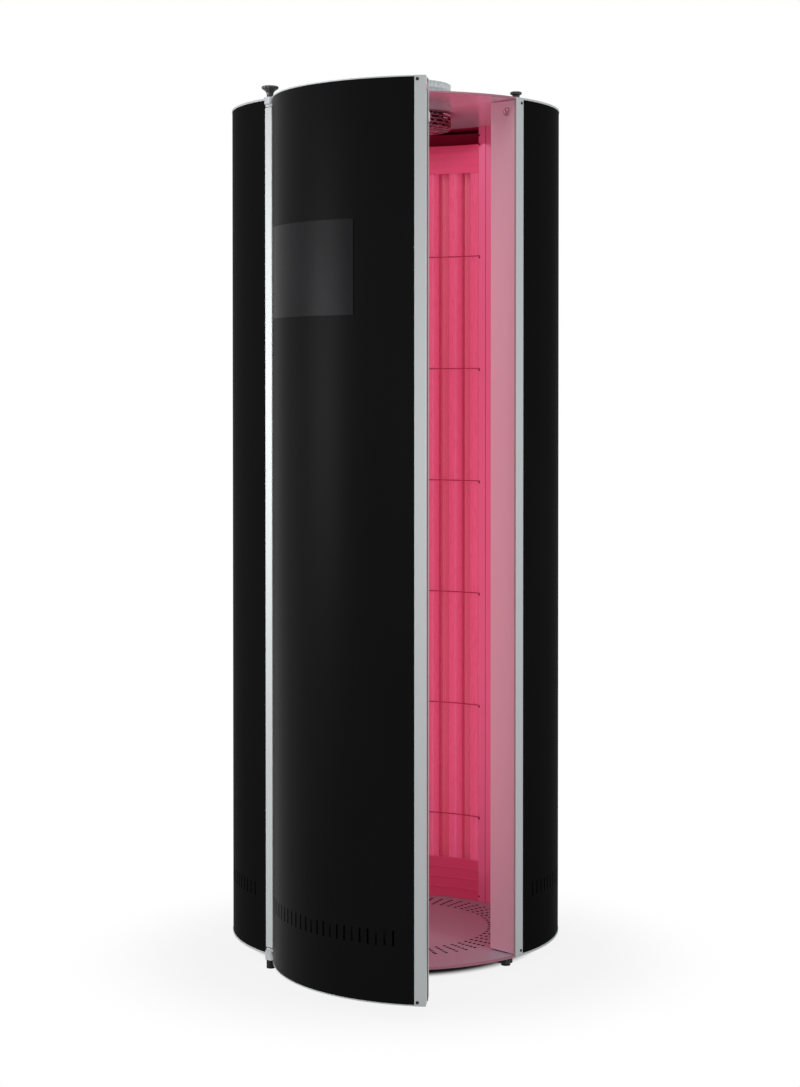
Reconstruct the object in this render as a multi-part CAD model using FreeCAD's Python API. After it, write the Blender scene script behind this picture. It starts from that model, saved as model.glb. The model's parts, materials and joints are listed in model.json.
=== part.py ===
import FreeCAD
import Part
import math
import os

# Vertical tanning booth: a round cabin with lamps all round and a curved lamp door.
# Millimetres. +Z is up, the doorway faces -Y, and the origin is on the ground at the
# cabin's own axis. Angles are measured from the front (-Y) towards the right (+X).

# ---- driving dimensions: cabin ----
body_radius = 440.0            # outside of the floor and roof edge trims
foot_height = 31.0             # ground to the underside of the floor
plate_thickness = 5.0          # floor and roof plates
trim_width = 4.0               # edge trims, measured radially
wall_depth = 88.0              # inside face of the wall to the edge trims
skin_thickness = 1.5
skin_setback = 1.0             # skins lie this far inside the trims
seat_gap = 0.3                 # between pieces that are seated on each other

# ---- doorway and posts ----
latch_plane_angle = 44.4       # lining plane on the latch side
hinge_plane_angle = -45.6      # lining plane on the hinge side
post_width = 26.0
post_depth = 30.0
post_wall = 2.0
post_lip = 6.0                 # lip of the latch post in front of the lining's edge
lining_thickness = 2.0
lining_flange = 16.0           # inward flange of a lining, across the wall
lining_end_gap = 2.5           # open joint above and below a lining
rear_post_angle = 132.2        # both rear posts, left and right
corner_half_span = 6.2         # corner covers in front of the rear posts, degrees
corner_return = 12.5

# ---- door ----
door_setback = 14.5            # door skin inside the edge trims
door_depth = 88.0
door_open_angle = 49.5         # how far the door stands open at rest
door_gap_bottom = 1.0
door_gap_top = 6.0
door_gap_latch = 4.3
door_gap_hinge = 7.3
stile_wall = 4.0
stile_face = 27.0              # width of the latch stile as seen from outside
hinge_stile_face = 10.0
stile_skin = 3.0
stile_return = 14.0
rail_thickness = 3.0
seal_inset = 44.0              # seal strip inside the door skin
seal_width = 8.0
seal_groove = 2.0
seal_proud = 1.5
seal_gap = 0.2

# ---- hinge ----
hinge_inset = 11.3             # pivot from the hinge-side lining plane
hinge_setback = 2.6            # pivot inside the edge trims
pin_radius = 5.0
pin_clearance = 0.06
block_half_width = 13.0
block_proud = 9.0              # hinge blocks beyond the edge trims
block_jaw_bottom = 9.0         # hinge block above and below the floor plate
block_jaw_under_roof = 12.0
block_jaw_over_roof = 1.0
arm_thickness = 6.0
arm_half_width = 8.0
arm_eye_radius = 12.0
arm_clearance = 1.0
arm_flange_height = 60.0
arm_flange_thickness = 3.0
arm_flange_length = 46.0
pin_cap_height = 29.5
pin_cap_radius = 22.5
pin_neck_radius = 8.5

# ---- lamps ----
lamp_radius = 19.0             # T12 tubes
lamp_wall = 1.0
lamp_length = 1990.0
lamp_foot_room = 94.0          # floor to the lamps
lamp_head_room = 108.0         # lamps to the roof
lamp_side_room = 3.0           # beside the first and last lamp of a bank
lamp_recess = 3.0              # lamp face behind the wall's inside face
lamp_pitch = 71.0
door_lamp_pitch = 66.0
holder_height = 22.0
holder_width = 24.0
holder_depth = 39.0
reflector_ridge = 10.0         # ridges in front of the lamp circle
reflector_clearance = 4.0      # behind a lamp
reflector_valley = 34.0
reflector_thickness = 1.6
cover_thickness = 1.5
cover_bottom_height = 113.5    # lamp-end covers
cover_top_height = 79.0
air_slot_height = 48.0         # open slot between the top covers and the roof
cover_bead_height = 5.0
cover_bead_proud = 1.0
wire_radius = 1.5
wire_count = 6
wire_foot_room = 146.0         # lower lamp end to the first wire
wire_head_room = 255.5         # last wire to the upper lamp end
wire_lap = 6.0                 # over the covers beside a bank
ballast_height = 150.0
ballast_width = 28.0
ballast_depth = 28.0
ballast_foot_room = 134.0      # lower lamp end to a ballast

# ---- base ----
frame_angle = 46.5             # the crossed bars of the base frame
bar_width = 26.0
bar_height = 26.0
bar_wall = 2.0
bar_inset = 37.4               # bar ends inside the edge trims
bar_cap = 3.0
pad_radius = 12.3
pad_taper = 1.5
pad_inset = 9.4                # middle of the pads inside the bar ends
hinge_foot_radius = 11.5

# ---- floor holes and vents ----
hole_rows = 5
hole_lines = 66                # radial lines of holes round the floor
hole_wall_room = 37.0          # outer row inside the wall
hole_row_pitch = 15.0
hole_radius = 5.0
vent_foot_room = 140.0         # floor to the vents
vent_height = 36.0
vent_width = 5.0
vent_pitch = 21.5

# ---- exhaust and fan ----
collar_radius = 149.0
collar_wall = 1.5
collar_height = 72.0
collar_flange = 19.0
collar_flange_thickness = 2.0
roof_hole_inset = 6.0          # roof opening inside the collar
guard_depth = 44.0
guard_wall = 1.5
guard_wire = 3.0
guard_lip = 3.0
guard_slots = 36
rotor_tip_gap = 9.5
rotor_hub_radius = 45.0
rotor_hub_height = 10.0
rotor_height = 30.0            # roof top to the middle of the blades
blade_count = 5
blade_chord = 76.0
blade_pitch_angle = 26.0
blade_thickness = 3.0
motor_radius = 42.0
motor_height = 24.0
shaft_radius = 4.0
shaft_clearance = 0.06
shaft_depth = 14.0
spider_height = 6.0
spider_arm_width = 14.0

# ---- small parts ----
plate_left_angle = -30.0       # blank badge plate on the door
plate_right_angle = 19.5
plate_drop = 330.0             # door top to the badge plate
plate_height = 228.0
badge_thickness = 1.2
badge_gap = 0.1
catch_radius = 11.0
catch_proud = 1.5
catch_inset = 33.0             # inside the edge trims
catch_drop = 30.0              # below the roof
screw_radius = 4.0
screw_proud = 1.2
screw_end_inset = 9.0
small_screw_radius = 2.6
small_screw_proud = 1.4
roof_knob_radius = 15.0
roof_knob_height = 16.0
terminal_box = (130.0, 84.0, 46.0)
terminal_box_inset = 86.0      # inside the edge trims
gland_radius = 11.0
gland_length = 24.0
gland_bore_radius = 4.5

# ---- levels and radii that follow ----
floor_bottom = foot_height
floor_top = floor_bottom + plate_thickness
lamp_bottom = floor_top + lamp_foot_room
lamp_top = lamp_bottom + lamp_length
roof_bottom = lamp_top + lamp_head_room
roof_top = roof_bottom + plate_thickness
inner_radius = body_radius - wall_depth
plate_radius = body_radius - trim_width - seat_gap
skin_outer = body_radius - skin_setback
skin_inner = skin_outer - skin_thickness
post_inner = body_radius - post_depth
lamp_circle = inner_radius + lamp_recess + lamp_radius
cover_bottom_top = floor_top + seat_gap + cover_bottom_height
cover_top_top = roof_bottom - air_slot_height
cover_top_bottom = cover_top_top - cover_top_height
wire_first = lamp_bottom + wire_foot_room
wire_pitch = (lamp_length - wire_foot_room - wire_head_room) / (wire_count - 1)
bar_reach = body_radius - bar_inset
collar_inner = collar_radius - collar_wall
roof_hole_radius = collar_radius - roof_hole_inset
rotor_radius = collar_inner - rotor_tip_gap
catch_radial = body_radius - catch_inset
catch_height = roof_bottom - catch_drop

door_outer = body_radius - door_setback
door_inner = door_outer - door_depth
door_bottom = floor_top + door_gap_bottom
door_top = roof_bottom - door_gap_top
door_skin_inner = door_outer - skin_thickness
seal_radial = door_outer - seal_inset
plate_top = door_top - plate_drop
door_lamp_circle = door_inner + lamp_recess + lamp_radius
door_latch_angle = latch_plane_angle - math.degrees(door_gap_latch / door_outer)
door_hinge_angle = hinge_plane_angle + math.degrees(door_gap_hinge / door_outer)

block_outer = body_radius + block_proud
hinge_radius = body_radius - hinge_setback
hinge_angle = hinge_plane_angle - math.degrees(math.atan(hinge_inset / hinge_radius))
block_bottom = floor_bottom - block_jaw_bottom
block_floor_top = floor_top + block_jaw_bottom
block_roof_bottom = roof_bottom - block_jaw_under_roof
block_top = roof_top + block_jaw_over_roof
low_arm_bottom = block_floor_top + seat_gap
low_arm_top = low_arm_bottom + arm_thickness
high_arm_top = block_roof_bottom - arm_clearance
high_arm_bottom = high_arm_top - arm_thickness
notch_low = low_arm_top + arm_clearance
notch_high = high_arm_bottom - arm_clearance
notch_radial = post_inner + 5.5
block_inner = notch_radial + seat_gap

up = FreeCAD.Vector(0, 0, 1)
axis_origin = FreeCAD.Vector(0, 0, 0)

os.makedirs("parts", exist_ok=True)


def at(angle, radius, z=0.0):
    """A point at an angle from the front and a radius from the cabin's axis."""
    turn = math.radians(angle)
    return FreeCAD.Vector(radius * math.sin(turn), -radius * math.cos(turn), z)


def span(length, radius):
    """The angle in degrees that an arc of this length covers."""
    return math.degrees(length / radius)


def save(name, shapes):
    """Write one node; a list becomes a group of separate solids."""
    shape = shapes
    if isinstance(shapes, list):
        shape = Part.makeCompound(shapes)
    shape.exportStep("parts/" + name + ".step")


def sector(r0, r1, a0, a1, z0, z1):
    """A curved plate between two radii, two angles and two heights."""
    mid = (a0 + a1) / 2
    edges = [
        Part.Arc(at(a0, r1, z0), at(mid, r1, z0), at(a1, r1, z0)).toShape(),
        Part.LineSegment(at(a1, r1, z0), at(a1, r0, z0)).toShape(),
        Part.Arc(at(a1, r0, z0), at(mid, r0, z0), at(a0, r0, z0)).toShape(),
        Part.LineSegment(at(a0, r0, z0), at(a0, r1, z0)).toShape(),
    ]
    return Part.Face(Part.Wire(edges)).extrude(up * (z1 - z0))


def prism(points, z0, z1):
    """A closed outline of (angle, radius) points, drawn up between two heights."""
    corners = [at(angle, radius, z0) for angle, radius in points]
    return Part.Face(Part.makePolygon(corners + corners[:1])).extrude(up * (z1 - z0))


def block(angle, side, r0, r1, t0, t1, z0, z1):
    """A box on the radial plane at an angle: t runs off the plane to one side."""
    low = min(t0 * side, t1 * side)
    box = Part.makeBox(abs(t1 - t0), r1 - r0, z1 - z0, FreeCAD.Vector(low, -r1, z0))
    box.rotate(axis_origin, up, angle)
    return box


def tube(r0, r1, z0, z1, centre=axis_origin):
    """A round tube, or a solid bar when the inside radius is 0."""
    base = FreeCAD.Vector(centre.x, centre.y, z0)
    outer = Part.makeCylinder(r1, z1 - z0, base)
    if r0 <= 0:
        return outer
    return outer.cut(Part.makeCylinder(r0, z1 - z0, base))


def revolved(profile, centre):
    """A turned piece from (radius, height) points, standing at a centre point."""
    corners = [centre + FreeCAD.Vector(r, 0, z) for r, z in profile]
    face = Part.Face(Part.makePolygon(corners + corners[:1]))
    return face.revolve(centre, up, 360)


def across(angle, side, radial, t, z, radius, length):
    """A round bar that starts on a radial plane and points away from it along -t."""
    start = at(angle, radial, z)
    turn = math.radians(angle)
    along = FreeCAD.Vector(math.cos(turn), math.sin(turn), 0) * side
    return Part.makeCylinder(radius, length, start + along * t, along * -1)


def facing(angle, side, radial, t, z, radius, length):
    """A round bar on a face that is square to a radial plane, pointing outwards."""
    turn = math.radians(angle)
    along = FreeCAD.Vector(math.cos(turn), math.sin(turn), 0) * side
    return Part.makeCylinder(radius, length, at(angle, radial, z) + along * t, at(angle, 1.0))


pivot = at(hinge_angle, hinge_radius)


def opened(shape):
    """Swing a piece of the door from its closed place to the open rest pose."""
    shape.rotate(pivot, up, -door_open_angle)
    return shape


def opened_all(shapes):
    return [opened(shape) for shape in shapes]


# ---- base ----
def base():
    bar_bottom = floor_bottom - bar_height
    outer = []
    inner = []
    caps = []
    pads = [Part.makeCone(pad_radius, pad_radius - pad_taper, bar_bottom)]
    for angle in (frame_angle, -frame_angle):
        bar = block(angle, 1, -bar_reach, bar_reach, -bar_width / 2, bar_width / 2, bar_bottom, floor_bottom)
        hollow = block(angle, 1, -bar_reach, bar_reach, bar_wall - bar_width / 2, bar_width / 2 - bar_wall,
                       bar_bottom + bar_wall, floor_bottom - bar_wall)
        outer.append(bar)
        inner.append(hollow)
        for reach in (bar_reach, -bar_reach - bar_cap):
            caps.append(block(angle, 1, reach, reach + bar_cap, -bar_width / 2, bar_width / 2,
                              bar_bottom, floor_bottom))
        for reach in (bar_reach - pad_inset, pad_inset - bar_reach):
            pads.append(Part.makeCone(pad_radius, pad_radius - pad_taper, bar_bottom, at(angle, reach)))
    save("base_frame", outer[0].fuse(outer[1]).cut(inner[0].fuse(inner[1])))
    save("frame_end_caps", caps)
    save("foot_pads", pads)
    foot = tube(0, hinge_foot_radius, 0, block_bottom - seat_gap, pivot)
    grooves = [tube(hinge_foot_radius - 1, hinge_foot_radius + 1, z, z + 1.5, pivot) for z in (4, 7, 10, 13)]
    save("hinge_foot", foot.cut(Part.makeCompound(grooves)))


def hole_ring():
    """Air holes in the floor: radial lines of round holes along the wall."""
    holes = []
    for row in range(hole_rows):
        radius = inner_radius - hole_wall_room - row * hole_row_pitch
        for index in range(hole_lines):
            centre = at(360 * (index + 0.5) / hole_lines, radius)
            holes.append(tube(0, hole_radius, floor_bottom, floor_top, centre))
    return Part.makeCompound(holes)


def hinge_block_room(z0, z1, gap=seat_gap):
    """The space that a hinge block takes out of the plates and trims."""
    return block(hinge_angle, 1, block_inner - gap, block_outer + 5, -block_half_width - gap,
                 block_half_width + gap, z0, z1)


def floor_and_roof():
    room = hinge_block_room(floor_bottom, floor_top)
    floor = tube(0, plate_radius, floor_bottom, floor_top)
    save("floor_plate", floor.cut(hole_ring()).cut(room))
    trim = tube(body_radius - trim_width, body_radius, floor_bottom, floor_top)
    save("floor_edge_trim", trim.cut(room))

    room = hinge_block_room(roof_bottom, roof_top)
    roof = tube(roof_hole_radius, plate_radius, roof_bottom, roof_top)
    roof = roof.cut(tube(0, shaft_radius + shaft_clearance, roof_bottom, roof_top, knob_centre()))
    save("roof_plate", roof.cut(room))
    trim = tube(body_radius - trim_width, body_radius, roof_bottom, roof_top)
    save("roof_edge_trim", trim.cut(room))


# ---- posts and linings ----
def post_at(angle, side, t0):
    """A hollow aluminium post between the floor and the roof."""
    z0 = floor_top
    z1 = roof_bottom
    post = block(angle, side, post_inner, body_radius, t0, t0 + post_width, z0, z1)
    post = post.makeFillet(1.2, [edge for edge in post.Edges if abs(edge.Length - (z1 - z0)) < 0.01])
    hollow = block(angle, side, post_inner + post_wall, body_radius - post_wall, t0 + post_wall,
                   t0 + post_width - post_wall, z0, z1)
    return post.cut(hollow)


def posts():
    t0 = lining_thickness + seat_gap
    latch = post_at(latch_plane_angle, 1, t0)
    lip = block(latch_plane_angle, 1, body_radius - post_lip, body_radius, 0, t0 + post_wall,
                floor_top, roof_bottom)
    save("latch_post", latch.fuse(lip).removeSplitter())

    hinge = post_at(hinge_plane_angle, -1, t0)
    t1 = t0 + post_width
    for z0, z1 in ((floor_top - 1, notch_low), (notch_high, roof_bottom + 1)):
        notch = block(hinge_plane_angle, -1, notch_radial, body_radius + 1, t0 - 1, t1 + 1, z0, z1)
        corner = block(hinge_plane_angle, -1, post_inner - 1, body_radius, t0 - 1, t0 + 3, z0, z1)
        hinge = hinge.cut(notch).cut(corner)
    save("hinge_post", hinge)

    rear = [post_at(angle, 1, -post_width / 2) for angle in (rear_post_angle, -rear_post_angle)]
    save("rear_posts", rear)


def linings():
    z0 = floor_top + lining_end_gap
    z1 = roof_bottom - lining_end_gap
    edge = body_radius - skin_setback - seat_gap
    latch_edge = body_radius - post_lip - seat_gap
    planes = (("latch_lining", latch_plane_angle, 1, latch_edge),
              ("hinge_lining", hinge_plane_angle, -1, edge))
    for name, angle, side, outer in planes:
        lining = block(angle, side, inner_radius, outer, 0, lining_thickness, z0, z1)
        flange = block(angle, side, inner_radius, inner_radius + cover_thickness, 0, lining_flange, z0, z1)
        lining = lining.fuse(flange).removeSplitter()
        if side > 0:
            hole = across(angle, side, catch_radial, lining_thickness + 1, catch_height,
                          catch_radius + seat_gap, lining_thickness + 2)
            lining = lining.cut(hole)
        else:
            for low, high in ((z0 - 1, notch_low + 3), (notch_high - 3, z1 + 1)):
                notch = block(angle, side, post_inner - 6, body_radius, -1, lining_thickness + 1, low, high)
                lining = lining.cut(notch)
        save(name, lining)


# ---- skins ----
def vents(radius, a0, a1):
    """Upright ventilation slots in a skin, spread over an arc."""
    z0 = floor_top + vent_foot_room
    room = span(1.5 * vent_pitch, radius)
    count = int((a1 - a0 - 2 * room) / span(vent_pitch, radius))
    middle = (a0 + a1) / 2
    slots = []
    for index in range(count):
        angle = middle + (index - (count - 1) / 2) * span(vent_pitch, radius)
        slots.append(block(angle, 1, radius - 10, radius + 10, -vent_width / 2, vent_width / 2,
                           z0, z0 + vent_height))
    return Part.makeCompound(slots)


def skins():
    z0 = floor_top + seat_gap
    z1 = roof_bottom - seat_gap
    beside = span(lining_thickness + seat_gap + post_width + seat_gap, skin_inner)
    rear_side = span(post_width / 2 + seat_gap, skin_inner)
    walls = (
        ("right_skin", latch_plane_angle + beside, rear_post_angle - rear_side),
        ("rear_skin", rear_post_angle + rear_side, 360 - rear_post_angle - rear_side),
        ("left_skin", -rear_post_angle + rear_side, hinge_plane_angle - beside),
    )
    for name, a0, a1 in walls:
        skin = sector(skin_inner, skin_outer, a0, a1, z0, z1)
        save(name, skin.cut(vents(skin_inner, a0, a1)))


def corner_covers():
    """Folded covers in front of the rear posts, from floor to ceiling."""
    covers = []
    fold = span(cover_thickness, inner_radius)
    far = inner_radius + corner_return
    for middle in (rear_post_angle, -rear_post_angle):
        left = middle - corner_half_span
        right = middle + corner_half_span
        back = inner_radius + cover_thickness
        outline = [(left, far), (left, inner_radius), (middle, inner_radius), (right, inner_radius),
                   (right, far), (right - fold, far), (right - fold, back), (middle, back),
                   (left + fold, back), (left + fold, far)]
        covers.append(prism(outline, floor_top + seat_gap, roof_bottom - seat_gap))
    save("corner_covers", covers)


# ---- lamp banks ----
def bank_angles(a0, a1, circle, pitch):
    """The angles of the lamps that fit between two edges, centred between them."""
    room = math.radians(a1 - a0) * circle - 2 * (lamp_radius + lamp_side_room)
    count = int(room / pitch) + 1
    middle = (a0 + a1) / 2
    return [middle + (index - (count - 1) / 2) * span(pitch, circle) for index in range(count)]


def reflector(angles, a0, a1, circle, pitch, z0, z1):
    """One folded sheet: a channel behind each lamp and a ridge between two lamps."""
    ridge = circle - reflector_ridge
    valley_plane = circle + lamp_radius + reflector_clearance
    valley = math.hypot(valley_plane, reflector_valley / 2)
    half = math.degrees(math.atan(reflector_valley / 2 / valley_plane))
    step = span(pitch, circle) / 2
    path = [(a0, ridge)]
    for angle in angles:
        path.append((angle - half, valley))
        path.append((angle + half, valley))
        path.append((angle + step, ridge))
    path[-1] = (a1, ridge)
    back = [(angle, radius + reflector_thickness) for angle, radius in reversed(path)]
    return prism(path + back, z0, z1)


def lamps(angles, circle):
    """Closed glass tubes."""
    tubes = []
    for angle in angles:
        centre = at(angle, circle)
        glass = tube(0, lamp_radius, lamp_bottom, lamp_top, centre)
        gas = tube(0, lamp_radius - lamp_wall, lamp_bottom + 2, lamp_top - 2, centre)
        tubes.append(glass.cut(gas))
    return tubes


def holders(angles, circle):
    """A lampholder above and below each lamp, seated in its reflector channel."""
    back = circle + lamp_radius + reflector_clearance - seat_gap
    found = []
    for angle in angles:
        for z0 in (lamp_bottom - seat_gap - holder_height, lamp_top + seat_gap):
            body = block(angle, 1, back - holder_depth, back, -holder_width / 2, holder_width / 2,
                         z0, z0 + holder_height)
            front = [edge for edge in body.Edges if abs(edge.Length - holder_height) < 0.01]
            found.append(body.makeChamfer(3.0, front))
    return found


def ballasts(angles, circle):
    """A ballast on the back of each reflector channel."""
    front = circle + lamp_radius + reflector_clearance + reflector_thickness + seat_gap
    half = ballast_width / 2
    z0 = lamp_bottom + ballast_foot_room
    return [block(angle, 1, front, front + ballast_depth, -half, half, z0, z0 + ballast_height)
            for angle in angles]


def beaded(radius, a0, a1, z0, z1):
    """A curved cover with three pressed beads on its inside face."""
    cover = sector(radius, radius + cover_thickness, a0, a1, z0, z1)
    for index in range(3):
        middle = z0 + (z1 - z0) * (index + 1) / 4
        bead = sector(radius - cover_bead_proud, radius + cover_thickness / 2, a0, a1,
                      middle - cover_bead_height / 2, middle + cover_bead_height / 2)
        cover = cover.fuse(bead)
    return cover.removeSplitter()


def wires(radius, a0, a1):
    """Guard wires across a lamp bank, one above the other."""
    found = []
    for index in range(wire_count):
        z = wire_first + index * wire_pitch
        turn = math.radians(a0)
        ring = Part.Circle(at(a0, radius, z), FreeCAD.Vector(math.cos(turn), math.sin(turn), 0), wire_radius)
        profile = Part.Face(Part.Wire(ring.toShape()))
        found.append(profile.revolve(FreeCAD.Vector(0, 0, z), up, a1 - a0))
    return found


def top_cover(a0, a1):
    """Cover in front of the upper lamp ends, with a shelf back to the posts."""
    cover = beaded(inner_radius, a0, a1, cover_top_bottom, cover_top_top)
    shelf = sector(inner_radius + cover_thickness / 2, post_inner - seat_gap, a0, a1,
                   cover_top_top - cover_thickness, cover_top_top)
    return cover.fuse(shelf).removeSplitter()


def cover_screws():
    """Small screws along both edges of the corner covers, one under each wire end."""
    half = corner_half_span / 2
    seat = inner_radius * math.cos(math.radians(half)) - small_screw_proud
    offset = inner_radius * math.sin(math.radians(half)) - wire_lap / 2
    levels = [floor_top + 14, roof_bottom - 50, roof_bottom - 24]
    for index in range(wire_count):
        levels.append(wire_first + index * wire_pitch - wire_radius - small_screw_radius - seat_gap)
    heads = []
    for middle in (rear_post_angle, -rear_post_angle):
        for side in (-1, 1):
            for z in levels:
                heads.append(facing(middle + side * half, side, seat, offset, z, small_screw_radius,
                                    small_screw_proud))
    save("cover_screws", heads)


def wall_banks():
    lining_edge = span(lining_flange + seat_gap, inner_radius)
    corner = corner_half_span + span(seat_gap, inner_radius)
    banks = (
        ("right", latch_plane_angle + lining_edge, rear_post_angle - corner),
        ("rear", rear_post_angle + corner, 360 - rear_post_angle - corner),
        ("left", -rear_post_angle + corner, hinge_plane_angle - lining_edge),
    )
    z0 = floor_top + seat_gap
    reflector_top = cover_top_top - cover_thickness - seat_gap
    lap = span(wire_lap, inner_radius)
    wire_circle = inner_radius - wire_radius - seat_gap
    ends = []
    gear = []
    tops = []
    bottoms = []
    guards = []
    for name, a0, a1 in banks:
        angles = bank_angles(a0, a1, lamp_circle, lamp_pitch)
        save(name + "_reflector", reflector(angles, a0, a1, lamp_circle, lamp_pitch, z0, reflector_top))
        save(name + "_lamps", lamps(angles, lamp_circle))
        ends += holders(angles, lamp_circle)
        gear += ballasts(angles, lamp_circle)
        tops.append(top_cover(a0, a1))
        bottoms.append(beaded(inner_radius, a0, a1, z0, cover_bottom_top))
        guards += wires(wire_circle, a0 - lap, a1 + lap)
    save("wall_lampholders", ends)
    save("wall_ballasts", gear)
    save("wall_top_covers", tops)
    save("wall_bottom_covers", bottoms)
    save("wall_guard_wires", guards)


# ---- exhaust, fan and roof gear ----
def exhaust_collar():
    """Round outlet on the roof that a duct slides over."""
    collar = tube(collar_inner, collar_radius, roof_top, roof_top + collar_height)
    flange = tube(collar_inner, collar_radius + collar_flange, roof_top, roof_top + collar_flange_thickness)
    save("exhaust_collar", collar.fuse(flange).removeSplitter())


def fan_guard():
    """Basket guard that hangs under the roof opening."""
    top = roof_bottom - seat_gap
    bottom = top - guard_depth
    guard = tube(collar_radius - guard_wall, collar_radius, bottom, top)
    guard = guard.fuse(tube(roof_hole_radius, collar_radius + guard_lip, top - guard_wall, top))
    slots = []
    for level in range(3):
        z = bottom + guard_depth * (level + 0.75) / 4
        for index in range(guard_slots):
            turn = 360 / guard_slots * (index + 0.5 * (level % 2))
            slots.append(block(turn, 1, collar_radius - 6, collar_radius + 6, -7, 7, z, z + guard_depth / 7))
    guard = guard.cut(Part.makeCompound(slots))
    step = collar_radius / 7
    for index in range(1, 7):
        guard = guard.fuse(tube(index * step, index * step + guard_wire, bottom, bottom + guard_wire))
    for index in range(4):
        guard = guard.fuse(block(45 * index, 1, 1 - collar_radius, collar_radius - 1, -guard_wire / 2,
                                 guard_wire / 2, bottom, bottom + guard_wire))
    save("fan_guard", guard.removeSplitter())


def fan_blade(turn):
    """One flat blade, pitched about its own radius and trimmed to the rotor's circle."""
    start = rotor_hub_radius - 4
    blade = Part.makeBox(rotor_radius - start, blade_chord, blade_thickness,
                         FreeCAD.Vector(0, -blade_chord / 2, -blade_thickness / 2))
    blade.rotate(axis_origin, FreeCAD.Vector(1, 0, 0), blade_pitch_angle)
    blade.translate(FreeCAD.Vector(start, 0, 0))
    blade = blade.common(tube(0, rotor_radius, -blade_chord, blade_chord))
    blade = blade.cut(tube(0, motor_radius + 2, rotor_hub_height / 2, blade_chord))
    blade.rotate(axis_origin, up, turn)
    return blade


def fan():
    """Axial fan in the outlet: rotor, motor and the spider that carries it."""
    middle = roof_top + rotor_height
    hub_top = middle + rotor_hub_height / 2
    motor_bottom = hub_top + 2
    motor_top = motor_bottom + motor_height
    rotor = tube(0, rotor_hub_radius, middle - rotor_hub_height / 2, hub_top)
    for index in range(blade_count):
        blade = fan_blade(360 * index / blade_count)
        blade.translate(up * middle)
        rotor = rotor.fuse(blade)
    rotor = rotor.fuse(tube(0, shaft_radius, hub_top, motor_bottom + shaft_depth))
    save("fan_rotor", rotor.removeSplitter())

    motor = tube(0, motor_radius, motor_bottom, motor_top)
    bore = tube(0, shaft_radius + shaft_clearance, motor_bottom - 1, motor_bottom + shaft_depth + 1)
    save("fan_motor", motor.cut(bore))

    reach = collar_inner - seat_gap
    spider = tube(0, motor_radius + 4, motor_top, motor_top + spider_height)
    for index in range(2):
        arm = block(45 + 90 * index, 1, -reach - 2, reach + 2, -spider_arm_width / 2, spider_arm_width / 2,
                    motor_top, motor_top + spider_height)
        spider = spider.fuse(arm)
    spider = spider.common(tube(0, reach, motor_top, motor_top + spider_height))
    save("fan_spider", spider.removeSplitter())


def terminal():
    """Terminal box at the back of the roof, with the gland for the supply cable."""
    width, depth, height = terminal_box
    front = body_radius - terminal_box_inset - depth
    box = Part.makeBox(width, depth, height, FreeCAD.Vector(-width / 2, front, roof_top))
    box = box.makeFillet(5.0, [edge for edge in box.Edges if abs(edge.Length - height) < 0.01])
    save("terminal_box", box)
    base_point = FreeCAD.Vector(0, front + depth, roof_top + height / 2)
    back = FreeCAD.Vector(0, 1, 0)
    gland = Part.makeCylinder(gland_radius, gland_length / 2, base_point, back)
    nose = Part.makeCone(gland_radius - 1, gland_radius - 4, gland_length / 2,
                         base_point + back * (gland_length / 2), back)
    bore = Part.makeCylinder(gland_bore_radius, gland_length, base_point + back * 2, back)
    save("cable_gland", gland.fuse(nose).cut(bore).removeSplitter())


def knob_centre():
    t = lining_thickness + seat_gap + post_width / 2
    radial = post_inner + post_depth / 2
    return at(latch_plane_angle + math.degrees(math.atan(t / radial)), math.hypot(radial, t))


def roof_knob():
    """Hand knob whose stud goes through the roof into the latch post."""
    r = roof_knob_radius
    h = roof_knob_height
    profile = [(0, 0), (r * 0.66, 0), (r * 0.62, h * 0.35), (r * 0.95, h * 0.5), (r, h * 0.62),
               (r, h * 0.8), (r * 0.85, h * 0.95), (0, h)]
    centre = knob_centre() + up * (roof_top + seat_gap)
    head = revolved(profile, centre)
    stud = tube(0, shaft_radius, roof_bottom - 16, roof_top + 2, knob_centre())
    save("roof_knob", head.fuse(stud).removeSplitter())


# ---- hinge ----
def hinge_blocks():
    bore = pin_radius + pin_clearance
    for name, z0, z1 in (("hinge_block_bottom", block_bottom, block_floor_top),
                         ("hinge_block_top", block_roof_bottom, block_top)):
        body = block(hinge_angle, 1, block_inner, block_outer, -block_half_width, block_half_width, z0, z1)
        upright = [edge for edge in body.Edges if abs(edge.Length - (z1 - z0)) < 0.01]
        outside = [edge for edge in upright
                   if math.hypot(edge.CenterOfMass.x, edge.CenterOfMass.y) > body_radius]
        body = body.makeFillet(6.0, outside)
        save(name, body.cut(tube(0, bore, z0 + 3 if z0 < floor_top else z0, z1, pivot)))

    low_pin = tube(0, pin_radius, block_bottom + 3, low_arm_top - seat_gap, pivot)
    save("hinge_pin_bottom", low_pin)
    pin_bottom = high_arm_bottom - arm_clearance / 2
    save("hinge_pin_top", tube(0, pin_radius, pin_bottom, block_top + seat_gap, pivot))
    r = pin_cap_radius
    n = pin_neck_radius
    h = pin_cap_height
    profile = [(0, 0), (n, 0), (n * 1.04, h * 0.2), (n * 1.25, h * 0.4), (r * 0.66, h * 0.56),
               (r * 0.93, h * 0.7), (r, h * 0.78), (r * 0.95, h * 0.87), (r * 0.72, h * 0.96), (0, h)]
    cap = revolved(profile, pivot + up * (block_top + seat_gap))
    flutes = []
    for index in range(10):
        turn = math.radians(36 * index)
        centre = pivot + FreeCAD.Vector(math.cos(turn), math.sin(turn), 0) * (r + 1.5)
        flutes.append(tube(0, 3.2, block_top + 4, block_top + h + 4, centre))
    save("hinge_pin_cap", cap.cut(Part.makeCompound(flutes)))


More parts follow.
